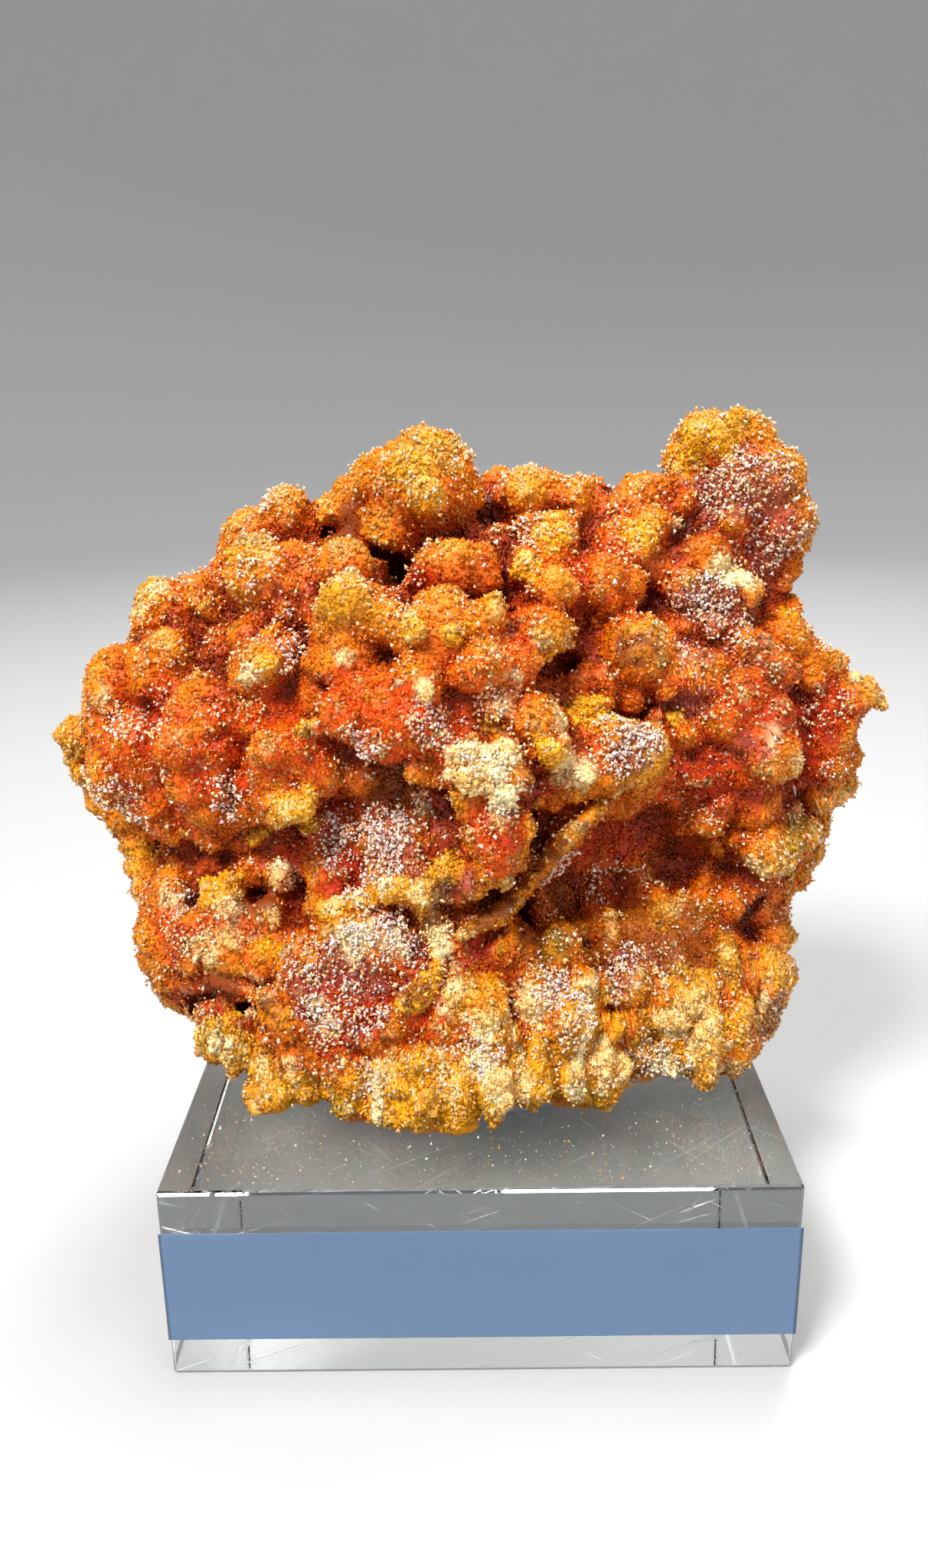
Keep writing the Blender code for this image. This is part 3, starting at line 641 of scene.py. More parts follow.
def hit(rows):
    """Where lines of sight through pixels first meet the stone, by steps of a fifth of a millimetre. A line
    that misses it ends above the block's front edge."""
    lines = sight(rows)
    reaches = np.arange(SIGHT_FROM, SIGHT_TO, SIGHT_STEP)
    points = EYE + lines[:, None] * reaches[None, :, None]
    inside = sample(field, points.reshape(-1, 3)).reshape(len(lines), -1) < 0
    first = inside.argmax(1)
    first = np.where(inside.any(1), first, int((SIGHT_MISSED - SIGHT_FROM) / SIGHT_STEP))
    return EYE + lines * reaches[first][:, None], reaches[first]


def measure_hollow(points):
    """From about 0.3 on a tip to 0.7 in a crevice: the stone's share of the room near each point."""
    solid = (field < 0).astype(np.float32)
    return 0.5 * sample(blurred(solid, 1.2), points) + 0.5 * sample(blurred(solid, 3.2), points)


# Creases are filled to a gentle curve, and small lobes grow in what stays hollow
chance = np.random.default_rng(3)
field = np.minimum(field, blurred(field, 1.1) + 0.22)
points, quads = surface_net(field)
hollow = measure_hollow(points)
wanted = points[chance.random(len(points)) < 0.016 * np.clip((hollow - 0.47) / 0.07, 0.06, 1)]
small_radii = chance.uniform(1.2, 3.0, len(wanted))
small_sunk = small_radii * chance.uniform(0.1, 0.6, len(wanted))
grow(wanted - outward(field, wanted) * small_sunk[:, None], thrice(small_radii), 0.2)
field = np.minimum(field, blurred(field, 0.55) + 0.12)
rows = np.array(PROUD, float)
middles, reach = hit(rows)
radii = rows[:, 2] / FOCAL_PIXELS * reach
grow(middles + sight(rows) * (0.7 * radii - rows[:, 3])[:, None], thrice(radii), 0.4)
# The smooth plates grew without gaps: there the creases are filled once more
middles, reach = hit(np.array(PLATE_AREAS, float))
radii = np.array(PLATE_AREAS)[:, 2] / FOCAL_PIXELS * reach
x, y, z = np.ix_(*AXES)
smooth_here = np.zeros(field.shape, np.float32)
for (a, b, c), radius in zip(middles, radii):
    away = np.sqrt((x - a) ** 2 + (y - b) ** 2 + (z - c) ** 2) / radius
    smooth_here = np.maximum(smooth_here, np.clip((1.25 - away) / 0.35, 0, 1).astype(np.float32))
filled = np.minimum(field, blurred(field, 1.7) + 0.05)
field += smooth_here * (np.minimum(filled, blurred(filled, 1.1) + 0.05) - field)
hollow_middles, hollow_radii = on_skin(HOLLOWS, 0, skin_middles, skin_halves)
carve(hollow_middles, hollow_radii, 1.6)
carve(*on_skin(DIMPLES, -0.1, skin_middles, skin_halves), 0.5)
for depth in CLEFT_DEPTHS:
    cleft_middles, cleft_radii = on_skin(CLEFTS, depth, skin_middles, skin_halves)
    carve(cleft_middles, cleft_radii, 0.35)
# Each ridge is a crest of balls, a little proud of the nearest stone along it and as deep as it says
for points, thick, proud, deep, blend in RIDGES:
    points = np.array(points, float)
    gone = np.concatenate(([0], np.cumsum(np.hypot(*np.diff(points, axis=0).T))))
    steps = np.arange(0, gone[-1], 3.5)
    rows = np.stack([np.interp(steps, gone, points[:, i]) for i in (0, 1)], 1)
    reach = np.pad(hit(rows)[1], 5, "edge")
    reach = np.minimum.reduce([reach[i : len(rows) + 8 + i] for i in range(3)])
    reach = sum(reach[i : len(rows) + i] for i in range(9)) / 9
    radii = thick / FOCAL_PIXELS * reach
    for depth in np.arange(-proud, deep, 0.7):
        grow(EYE + sight(rows) * (reach + radii + depth)[:, None], thrice(radii), blend)

# Patches of other colours: x, y, radius in pixels, and strength
RED = (
    (655, 1085, 26, 0.7), (275, 1312, 40, 1.0), (320, 1318, 30, 1.0), (1078, 935, 46, 0.8),
    (1060, 1000, 42, 0.6), (1128, 910, 26, 0.5), (150, 1020, 60, 0.4), (300, 1000, 60, 0.35),
    (200, 930, 40, 0.3), (545, 955, 50, 0.4), (440, 1150, 34, 0.8), (425, 1110, 30, 0.7),
    (450, 1290, 60, 0.8), (440, 1345, 50, 0.8), (225, 1220, 30, 0.7), (290, 1310, 44, 0.9),
    (235, 1310, 30, 0.8), (800, 1080, 54, 0.5), (740, 1130, 34, 0.6), (890, 1100, 44, 0.2),
    (1005, 690, 46, 0.15), (745, 870, 50, 0.6), (550, 765, 24, 0.8), (510, 742, 22, 0.9),
    (800, 800, 40, 0.4), (990, 930, 50, 0.4), (880, 900, 40, 0.5), (628, 1236, 18, 1.3),
    (590, 1250, 30, 0.6), (606, 1160, 22, 0.6), (340, 1180, 20, 0.8), (385, 1105, 40, 0.5),
    (690, 1000, 22, 0.7), (920, 1010, 40, 0.6), (965, 1050, 40, 0.6), (560, 1350, 40, 0.5),
    (715, 1330, 36, 0.4), (680, 820, 24, 0.4), (360, 1350, 30, 0.4), (480, 1330, 50, 0.7),
    (760, 1330, 24, 0.4),
)
MAUVE = (
    (975, 630, 62, 0.9), (1020, 650, 40, 0.8), (1015, 725, 34, 0.7), (925, 785, 36, 1), (970, 800, 30, 0.8),
    (520, 1105, 44, 0.95), (548, 1145, 34, 0.8), (495, 1075, 30, 0.7), (482, 1272, 30, 0.8),
    (400, 1282, 24, 0.6), (440, 1262, 24, 0.6), (830, 985, 36, 0.9), (812, 1270, 40, 0.8),
    (975, 990, 32, 0.7), (905, 860, 26, 0.7), (895, 920, 26, 0.7), (330, 690, 26, 0.35),
    (345, 765, 30, 0.25), (640, 640, 26, 0.25), (735, 915, 24, 0.6), (650, 1065, 20, 0.7),
    (1020, 900, 34, 0.5), (985, 860, 30, 0.5), (680, 1010, 20, 0.6), (190, 830, 20, 0.4),
    (430, 1090, 26, 0.5), (865, 1250, 30, 0.6), (160, 1095, 26, 0.4), (1035, 1060, 20, 0.6),
    (690, 1210, 20, 0.4), (602, 1150, 20, 0.8), (590, 1178, 18, 0.7),
)
YELLOW = (
    (860, 1140, 40, 0.4), (790, 1150, 30, 0.3), (920, 1120, 30, 0.4), (548, 578, 40, 0.5),
    (575, 640, 30, 0.6), (500, 620, 20, 0.6), (925, 565, 40, 0.7), (895, 600, 30, 0.8), (960, 550, 30, 0.5),
    (775, 927, 30, 1), (715, 980, 30, 1), (378, 1055, 32, 1), (400, 1075, 20, 1), (335, 1096, 15, 1),
    (280, 1160, 30, 1), (583, 1133, 26, 0.9), (405, 950, 16, 0.9), (346, 870, 22, 0.7), (539, 822, 22, 0.7),
    (585, 828, 22, 0.7), (722, 698, 24, 0.8), (689, 738, 20, 0.8), (844, 686, 28, 0.7), (618, 816, 20, 0.6),
    (542, 1298, 24, 1.3), (524, 1312, 16, 1.3), (1032, 795, 18, 0.9), (882, 941, 12, 0.9),
    (425, 1188, 17, 1.2), (452, 1184, 17, 1.2), (480, 1176, 17, 1.2), (500, 1165, 16, 1.2),
    (520, 1161, 16, 1.2), (545, 1172, 16, 1.2), (562, 1190, 16, 1.2), (570, 1214, 15, 1.2),
    (573, 1240, 15, 1.2), (569, 1264, 15, 1.2), (558, 1288, 16, 1.2), (352, 1240, 20, 0.8),
    (420, 668, 12, 1), (1040, 1130, 20, 0.6), (425, 800, 26, 0.4), (190, 765, 22, 0.5), (100, 990, 22, 0.6),
    (110, 935, 20, 0.5), (650, 945, 26, 0.6), (600, 700, 24, 0.4), (470, 800, 24, 0.4),
    (640, 1215, 20, 0.4), (860, 1190, 34, 0.3), (930, 1165, 30, 0.4), (1000, 1200, 26, 0.4),
    (590, 1046, 16, 0.6), (706, 1054, 12, 0.7), (240, 870, 20, 0.4), (300, 1270, 24, 0.5),
    (960, 1250, 30, 0.5), (620, 1440, 60, 1.0), (500, 1440, 50, 1.0), (400, 1420, 44, 0.8),
    (560, 1400, 40, 0.7), (740, 1420, 50, 1.0), (860, 1370, 50, 0.9), (950, 1350, 40, 0.8),
    (690, 1380, 40, 0.8), (800, 1330, 40, 0.6), (900, 1310, 40, 0.5), (640, 1290, 30, 0.5),
    (320, 1385, 30, 0.7), (840, 700, 22, 0.5), (180, 1120, 18, 0.6), (520, 600, 20, 0.6),
)
CREAM = (
    (470, 1226, 30, 0.7), (520, 1232, 26, 0.7), (430, 1330, 24, 0.6), (632, 1000, 44, 1),
    (650, 1035, 26, 1), (752, 1012, 34, 0.7), (453, 863, 16, 0.5), (324, 884, 16, 0.6), (553, 902, 16, 0.6),
    (958, 747, 26, 0.9), (985, 755, 16, 0.8), (1118, 882, 10, 1), (440, 1182, 14, 0.8),
    (500, 1160, 12, 0.8), (572, 1215, 13, 1), (574, 1245, 12, 1), (545, 1172, 12, 0.9),
    (380, 1150, 20, 0.9), (300, 1215, 30, 0.5), (250, 1180, 24, 0.5), (628, 1340, 22, 0.9),
    (632, 1400, 22, 0.9), (870, 1395, 34, 0.9), (820, 1395, 26, 0.6), (700, 1310, 30, 0.8),
    (345, 1200, 16, 0.6), (470, 1175, 12, 0.8), (900, 1335, 34, 0.6), (985, 1140, 26, 0.6),
    (985, 1180, 20, 0.5), (890, 690, 14, 0.6), (868, 830, 12, 0.5), (655, 905, 30, 0.5),
    (740, 940, 24, 0.6), (500, 990, 10, 0.9), (130, 910, 14, 0.5), (178, 800, 14, 0.6), (210, 765, 14, 0.5),
    (530, 575, 20, 0.5), (1040, 1000, 16, 0.4), (350, 1290, 26, 0.5), (270, 1250, 24, 0.6),
    (215, 1170, 20, 0.6), (575, 1175, 20, 0.6), (600, 1300, 18, 0.6), (760, 1300, 24, 0.5),
    (1015, 1330, 24, 0.8), (560, 1060, 14, 0.6), (865, 955, 14, 0.5), (500, 1400, 26, 0.5),
    (340, 1395, 20, 0.5), (780, 1380, 22, 0.5), (950, 1395, 20, 0.5), (1000, 960, 14, 0.4),
    (915, 1220, 14, 0.4), (820, 1030, 14, 0.4), (620, 645, 16, 0.3), (240, 790, 16, 0.3),
)
OLIVE = (
    (548, 590, 50, 0.6), (600, 610, 30, 0.5), (930, 570, 40, 0.5), (330, 700, 30, 0.35),
    (270, 1360, 26, 0.9), (300, 1385, 24, 0.9), (360, 1415, 26, 0.8), (430, 1440, 28, 0.8),
    (500, 1462, 26, 0.8), (570, 1465, 26, 0.7), (640, 1452, 26, 0.6), (700, 1440, 26, 0.6),
    (780, 1430, 26, 0.6), (990, 1310, 24, 0.7), (1045, 1120, 24, 0.7), (1050, 1080, 20, 0.6),
    (200, 1115, 16, 0.6), (720, 1240, 24, 0.6), (660, 1240, 24, 0.5), (770, 1215, 26, 0.5),
    (540, 645, 20, 0.4), (500, 665, 18, 0.4), (860, 1400, 24, 0.4), (930, 1380, 20, 0.5),
    (600, 680, 18, 0.4), (405, 940, 16, 0.7), (880, 945, 10, 0.6), (1010, 1280, 16, 0.6),
    (380, 1385, 20, 0.5),
)
WAXY = (
    (238, 1290, 26, 0.8), (290, 1300, 30, 0.8), (350, 1318, 20, 0.7), (410, 1345, 18, 0.7),
    (470, 1360, 18, 0.7), (612, 1218, 12, 1), (628, 1208, 12, 1), (646, 1192, 12, 1), (664, 1176, 12, 1),
    (684, 1156, 11, 1), (704, 1136, 11, 1), (722, 1116, 10, 1), (740, 1095, 10, 1), (760, 1075, 10, 1),
    (780, 1057, 10, 1), (448, 692, 22, 1), (455, 655, 24, 0.9), (828, 850, 38, 0.75), (336, 1176, 24, 1),
    (565, 1200, 20, 0.6), (1015, 1330, 24, 0.8), (718, 872, 30, 0.6), (585, 1200, 14, 0.7),
    (542, 1298, 18, 0.7), (420, 665, 12, 0.9), (520, 742, 26, 0.8), (700, 1230, 30, 0.5),
)
FIBRE = (
    (300, 1375, 50, 1), (400, 1415, 56, 1), (500, 1430, 60, 1), (600, 1420, 70, 1), (700, 1400, 70, 1),
    (800, 1370, 70, 1), (900, 1340, 70, 1), (980, 1300, 50, 1), (620, 1330, 50, 1), (898, 800, 30, 1),
    (895, 860, 34, 1), (890, 920, 34, 1), (520, 1110, 50, 1), (1050, 1090, 56, 1), (1050, 1150, 40, 1),
    (760, 1310, 50, 0.7), (860, 1290, 50, 0.6), (560, 1060, 30, 0.7),
)

EMBER = (
    (200, 1000, 110, 0.6), (330, 980, 110, 0.6), (470, 960, 90, 0.8), (560, 940, 60, 0.9),
    (600, 900, 50, 0.7), (655, 1125, 46, 1.4), (650, 1095, 42, 1.4), (656, 1148, 28, 1.4),
    (632, 1110, 26, 1.3), (674, 1108, 26, 1.3), (440, 1060, 50, 0.6), (150, 930, 60, 0.5),
    (1060, 980, 70, 0.8), (1000, 920, 70, 0.7), (950, 1000, 60, 0.7), (820, 760, 50, 0.5),
    (780, 720, 50, 0.5), (690, 780, 50, 0.4), (680, 860, 50, 0.5), (990, 690, 50, 0.7),
    (1090, 930, 50, 0.8), (250, 1230, 40, 0.6), (210, 1200, 30, 0.6), (300, 1260, 40, 0.6),
    (560, 1330, 30, 0.6), (780, 1130, 60, 0.4), (890, 1020, 60, 0.6), (740, 800, 40, 0.5),
)
# Painted shade: dim brown patches where the lower front lies in shadow, under the diagonal ridge and the
# hollow, and at the foot's left and its lip
PAINTED_SHADE_PATCHES = (
    (880, 1225, 70, 1.2), (800, 1240, 44, 1.0), (950, 1240, 44, 0.9), (300, 1368, 40, 0.7),
    (360, 1400, 40, 0.6), (560, 1205, 26, 0.7), (600, 1255, 44, 0.7), (500, 1030, 44, 0.6),
    (740, 1190, 50, 0.6), (700, 1250, 44, 0.7), (240, 1300, 34, 0.6), (320, 1320, 34, 0.7),
    (540, 1060, 30, 0.6), (470, 1120, 30, 0.5), (660, 1180, 22, 0.9), (630, 1196, 20, 0.9),
    (700, 1120, 18, 0.7), (610, 1190, 22, 0.8),
)
# Painted glints: patches where many grains are painted pale, as faces that catch the light
PAINTED_GLINT_PATCHES = (
    (440, 1285, 44, 0.5), (440, 1234, 16, 1.1), (462, 1222, 20, 1.2), (490, 1214, 22, 1.3),
    (516, 1220, 24, 1.3), (536, 1242, 16, 1.1), (504, 1246, 20, 1.1), (470, 1252, 14, 0.9),
    (408, 1312, 16, 1.0), (426, 1330, 22, 1.1), (452, 1342, 18, 1.0), (394, 1318, 12, 0.8),
    (500, 1330, 14, 0.9), (520, 1290, 12, 0.7), (420, 1262, 12, 0.8), (632, 998, 26, 0.8),
    (1005, 715, 36, 0.5), (400, 1250, 30, 0.5), (480, 1335, 30, 0.8), (520, 1090, 40, 1),
    (470, 1080, 30, 0.8), (500, 1130, 34, 0.8), (655, 1062, 16, 0.8), (485, 975, 28, 1),
    (445, 1070, 26, 0.8), (440, 1115, 30, 0.9), (470, 1165, 24, 0.8), (820, 975, 40, 1),
    (735, 1130, 34, 0.7), (800, 1150, 30, 0.6), (810, 1270, 36, 0.7), (730, 1300, 30, 1),
    (700, 1290, 24, 0.8), (240, 1180, 30, 0.5), (560, 1060, 20, 0.6), (960, 640, 50, 0.5),
    (1010, 620, 40, 0.5), (925, 785, 34, 0.9), (960, 830, 30, 0.5), (900, 860, 26, 0.3),
    (1075, 930, 40, 0.25), (150, 1050, 40, 0.6), (180, 940, 40, 0.4), (860, 1390, 40, 0.9),
    (760, 1340, 30, 0.7), (630, 1380, 26, 0.9), (480, 1410, 26, 0.5), (380, 860, 24, 0.7),
    (375, 815, 16, 0.7), (335, 745, 30, 0.5), (350, 650, 26, 0.5), (560, 955, 34, 0.6), (630, 930, 26, 0.6),
    (300, 1040, 30, 0.6), (690, 1030, 16, 0.6), (440, 600, 26, 0.4), (690, 700, 30, 0.4),
)


def weight_of(kind, points):
    """The strongest patch at each point: full inside most of its radius, fading out to a quarter beyond it,
    with the distance made ragged by two noises."""
    ragged = 0.45 * sample(coarse_noise, points) + 0.42 * sample(fine_noise, points)
    best = np.zeros(len(points))
    for middle, radius, strength in zip(*patches[kind]):
        away = np.linalg.norm(points - middle, axis=1) / radius + ragged
        best = np.maximum(best, strength * np.clip((1.25 - away) / 0.5, 0, 1))
    return best


coarse_noise, fine_noise = lattice_noise(7, 3.2), lattice_noise(8, 1.1)
patches = {}
for kind, rows in {
    "ember": EMBER, "painted_shade": PAINTED_SHADE_PATCHES, "red": RED, "mauve": MAUVE, "yellow": YELLOW, "cream": CREAM,
    "olive": OLIVE, "waxy": WAXY, "fibre": FIBRE, "painted_sparkle": PAINTED_GLINT_PATCHES,
}.items():
    rows = np.array(rows, float)
    middles, reach = hit(rows)
    patches[kind] = middles, rows[:, 2] / FOCAL_PIXELS * reach, rows[:, 3]

# Small knobs all over, and crowded ones on the pale tufts
KNOBS = 4200
KNOB_LEAST, KNOB_MOST = 0.5, 1.15
points, quads = surface_net(field)
tufted = np.maximum(weight_of("yellow", points), weight_of("cream", points)) * (points[:, 2] > 28)
bare = weight_of("waxy", points) > 0.5
picked = np.concatenate((
    chance.permutation(np.flatnonzero(~bare))[:KNOBS],
    chance.permutation(np.flatnonzero((tufted > 0.5) & (chance.random(len(points)) < 0.10))),
))
knob_radii = chance.uniform(KNOB_LEAST, KNOB_MOST, len(picked))
knob_sunk = knob_radii * chance.uniform(0.35, 0.95, len(picked))
grow(points[picked] - outward(field, points[picked]) * knob_sunk[:, None], thrice(knob_radii), 0.12)
bites = np.array(BITES)
carve(bites[:, :3], bites[:, 3], 0.4)
# The skin is drawn in by the room that the grains take up, a little more above the shoulders, and cut level
# just above the block
GRAIN_ROOM = 0.3
SHOULDERS = 72
FOOT = 20.6
height = AXES[2][None, None, :]
field += 0.10 * lattice_noise(5, 1.3) + 0.12 * lattice_noise(6, 2.6) + GRAIN_ROOM
field += (0.05 * np.clip(height - SHOULDERS, 0, 20)).astype(np.float32)
field = np.maximum(field, (FOOT - height).astype(np.float32))
points, quads = largest(*surface_net(field))
hollow = measure_hollow(points)
normals = outward(field, points)
weights = {kind: weight_of(kind, points) for kind in patches}

# The far side isn't in the photograph. It carries the same colours in patches by chance: each kind, the noise
# that it starts from, and its most strength
far_side = np.clip((points[:, 1] - 3) / 5, 0, 1)
FAR_KINDS = (
    ("ember", 0.0, 1.0), ("red", 0.25, 0.9), ("yellow", 0.32, 1.1), ("cream", 0.45, 1.1),
    ("mauve", 0.34, 0.8), ("painted_sparkle", 0.25, 0.6), ("olive", 0.45, 0.7),
)
for seed, (kind, least, most) in enumerate(FAR_KINDS):
    noise = 0.75 * sample(lattice_noise(51 + seed, 7.5), points)
    noise += 0.4 * sample(lattice_noise(61 + seed, 2.6), points)
    weights[kind] = np.maximum(weights[kind], far_side * np.clip((noise - least) / 0.22, 0, most))

# Nothing pale grows on the glowing red-orange lobe but at its top, and no painted shade or painted glints
# fall on it. Nothing pale grows on the glowing red-orange lobe but at its top: its middle in pixels
HEART = (652, 1122)
on_heart = np.clip(1.9 - np.linalg.norm(points - hit([HEART])[0], axis=1) / 3.0, 0, 1)
for kind in ("yellow", "cream", "olive", "painted_shade", "painted_sparkle"):
    weights[kind] *= 1 - on_heart

# Upright bands of colour and shallow flutes where the crystals grew side by side as fibres
bands = sample(lattice_noise(9, (1.0, 1.0, 7.0)), points)
fibre = weights["fibre"]
lower = fibre * (points[:, 2] < 42)
weights["cream"] = np.maximum(weights["cream"], lower * np.clip((bands - 0.25) / 0.25, 0, 0.9))
weights["yellow"] = np.maximum(weights["yellow"], lower * np.clip(1 - np.abs(bands - 0.1) / 0.3, 0, 0.8))
weights["olive"] = np.maximum(weights["olive"], lower * np.clip((-0.35 - bands) / 0.2, 0, 0.7))
skin_points = points + normals * (0.38 * fibre * bands)[:, None]
for axis, seed in enumerate((11, 12, 13)):
    shift = 0.65 * sample(lattice_noise(seed, 4.2), points)
    shift += 0.32 * sample(lattice_noise(seed + 10, 1.8), points)
    skin_points[:, axis] += shift * np.clip((points[:, 2] - 21) / 3, 0, 1)
skin_points[:, 2] = np.maximum(skin_points[:, 2], FOOT - 0.05)

# Colour from tip to crevice, by how much stone stands round a point: amber, orange, red-orange, deep red.
# The orange is the stone's own, and the lighter tips and deep red crevices are painted light and shade.
# Then the patches' colours and how much of each, laid one over another in this order.
DRUSE_LIGHT_AND_SHADE_STOPS = (
    (0.26, "E89822"), (0.36, "E5820F"), (0.45, "E07006"), (0.54, "D05404"), (0.62, "A83203"),
    (0.76, "681002"),
)
PATCH_COLOURS = (
    ("painted_shade", "964A0C", 0.85), ("ember", "E24602", 0.9), ("red", "B41E02", 0.9), ("mauve", "A04838", 0.85),
    ("olive", "A4841A", 0.85), ("yellow", "E39C0C", 0.95), ("cream", "FBE6AE", 0.95),
    ("waxy", "7E3606", 0.9),
)
STRAW = "E8A62C"
PALE = ("yellow", "cream", "olive")


def zincite_colours(chosen, uneven):
    """Linear colours at points of the skin: the druse ramp by hollowness and a broad noise, which paints
    light on tips and shade in crevices, then each patch colour as far as its weight beats a fine noise, then
    made lighter or dimmer by chance, and dimmer in crevices as painted shade."""
    at = hollow[chosen] + broad[chosen] + uneven * 0.05 * chance.normal(0, 1, len(chosen))
    stops = np.array([linear(colour)[:3] for _, colour in DRUSE_LIGHT_AND_SHADE_STOPS])
    colours = np.stack([np.interp(at, [place for place, _ in DRUSE_LIGHT_AND_SHADE_STOPS], stops[:, i]) for i in range(3)], 1)
    for kind, hex_colour, most in PATCH_COLOURS:
        share = weights[kind][chosen] - 0.5 - 0.5 * speck[chosen]
        share -= (kind in PALE) * 1.2 * (hollow[chosen] - 0.42)
        share += uneven * 0.18 * chance.normal(0, 1, len(chosen))
        share = most * np.clip(share / 0.5 + 0.5, 0, 1)[:, None]
        colours = colours * (1 - share) + np.array(linear(hex_colour)[:3]) * share
        if kind == "cream":
            straw = 0.35 + 0.9 * patchy[chosen] + uneven * 0.2 * chance.normal(0, 1, len(chosen))
            straw = share * np.clip(straw, 0, 0.8)[:, None]
            colours = colours * (1 - straw) + np.array(linear(STRAW)[:3]) * straw
    # Painted shade: besides the uneven tone by chance, the colour dims with hollowness, so the crevices are
    # shaded
    uneven_tone_and_crevice_shade = uneven * 0.13 * chance.normal(0, 1, len(chosen)) - 1.1 * np.clip(hollow[chosen] - 0.48, 0, 1)
    return colours * np.exp(uneven_tone_and_crevice_shade)[:, None]


def paint(piece, colours, times):
    """Gives each point of a piece its colour, kept in an attribute that its material reads."""
    attribute = piece.data.attributes.new("colour", "FLOAT_COLOR", "POINT")
    whole = np.concatenate((np.clip(colours, 0, 1), np.ones((len(colours), 1))), 1)
    attribute.data.foreach_set("color", np.repeat(whole, times, 0).astype(np.float32).ravel())


broad = 0.08 * sample(lattice_noise(31, 9.0), points) + 0.06 * sample(lattice_noise(32, 3.5), points)
speck, patchy = sample(lattice_noise(33, 0.9), points), sample(lattice_noise(35, 1.7), points)
# Zincite in the mass: translucent, so light that enters comes out again some way off, reddened. Its crystal
# ends are 0.2 mm and finer, and are drawn 0.4 mm wide so that they show.
CRYSTAL_END = 1 / 2.6
skin_finish, shader = finish_named(
    "translucent zincite mass", Roughness=0.45, IOR=1.5, Specular_IOR_Level=0.25,
    Subsurface_Weight=0.4, Subsurface_Radius=(1.0, 0.45, 0.12), Subsurface_Scale=1.2 * MM,
)
place = node(skin_finish, "ShaderNodeTexCoord").outputs["Object"]
sugary = node(skin_finish, "ShaderNodeTexVoronoi", [("Vector", place)], Scale=1 / (CRYSTAL_END * MM))
ends = [("Height", sugary.outputs["Distance"])]
sugary = node(skin_finish, "ShaderNodeBump", ends, Strength=0.55, Distance=0.2 * MM)
skin_finish.node_tree.links.new(sugary.outputs[0], shader.inputs["Normal"])
own = node(skin_finish, "ShaderNodeAttribute", attribute_name="colour")
skin_finish.node_tree.links.new(own.outputs["Color"], shader.inputs["Base Color"])
skin = mesh_from("zincite_skin", skin_points, quads, skin_finish)
skin.data.polygons.foreach_set("use_smooth", np.ones(len(quads), bool))
paint(skin, zincite_colours(np.arange(len(points)), 0.0), 1)
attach(skin, "root")
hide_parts("zincite")


# Druse
# Sugary zincite crystals under half a millimetre that cover the stone, grown on it. Clear amber ones are
# nearly everywhere, frosty ones make the pale tufts, long ones lie side by side at the foot, and pale ones
# painted by chance stand in for glints.
DRUSE_PARTS = 4
DRUSE_GRAINS, TUFT_GRAINS, FIBRES, GLINTS = 42000, 26000, 11000, 24000
# Glassy grains: slightly see-through, with clean faces that glint
grain_finish, shader = finish_named(
    "glassy zincite druse", Roughness=0.14, IOR=1.6, Specular_Tint=linear("FFC48A"), Transmission_Weight=0.25
)
own = node(grain_finish, "ShaderNodeAttribute", attribute_name="colour")
grain_finish.node_tree.links.new(own.outputs["Color"], shader.inputs["Base Color"])
# Cleavage faces: bare, smooth and bright, as zincite's high index makes them, and painted pale as glints
glint_finish, shader = finish_named("clean zincite faces", Roughness=0.07, IOR=2.0)
own = node(glint_finish, "ShaderNodeAttribute", attribute_name="colour")
glint_finish.node_tree.links.new(own.outputs["Color"], shader.inputs["Base Color"])
# Tufts: crystals too fine to see singly, so they look frosted
tuft_finish, shader = finish_named("frosty zincite tufts", Roughness=0.22, IOR=1.5)
own = node(tuft_finish, "ShaderNodeAttribute", attribute_name="colour")
tuft_finish.node_tree.links.new(own.outputs["Color"], shader.inputs["Base Color"])
# Painted glints: two warm tones and a white, by chance. Among the patches of painted glints they are the last
# three.
PAINTED_GLINT_TONES = ("FFD890", "FFCE98", "FFF0DC", "FFF8F2", "F6EAF0")


def shards(name, places, along, widths, lengths, finish, tips=1):
    """Closed pyramids in one mesh: three uneven corners round each place and a tip at one end, or four and a
    tip at both ends."""
    count, sides = len(places), 3 if tips == 1 else 4
    helper = np.where(np.abs(along[:, :1]) < 0.6, (1.0, 0.0, 0.0), (0.0, 1.0, 0.0))
    u = np.cross(along, helper)
    u /= np.linalg.norm(u, axis=1, keepdims=True)
    v = np.cross(along, u)
    turn = chance.uniform(0, 2 * np.pi, (count, 1)) + np.arange(sides) * 2 * np.pi / sides
    turn += chance.uniform(-0.35, 0.35, (count, sides))
    wide = widths[:, None] * chance.uniform(0.65, 1.3, (count, sides))
    across, back = (wide * np.cos(turn))[:, :, None], (wide * np.sin(turn))[:, :, None]
    ring = places[:, None] + across * u[:, None] + back * v[:, None]
    ring += (lengths[:, None] * chance.uniform(-0.25, 0.25, (count, sides)))[:, :, None] * along[:, None]
    ends = [places + along * lengths[:, None], places - along * lengths[:, None]][:tips]
    corners = np.concatenate((ring, np.stack(ends, 1)), 1)
    i = np.arange(sides)
    j = (i + 1) % sides
    one = np.stack((i, j, np.full(sides, sides)), 1)
    under = np.stack((j, i, np.full(sides, sides + 1)), 1) if tips == 2 else np.array([[2, 1, 0]])
    faces = np.concatenate((one, under))[None] + (np.arange(count) * (sides + tips))[:, None, None]
    return mesh_from(name, corners.reshape(-1, 3), faces.reshape(-1, 3), finish)


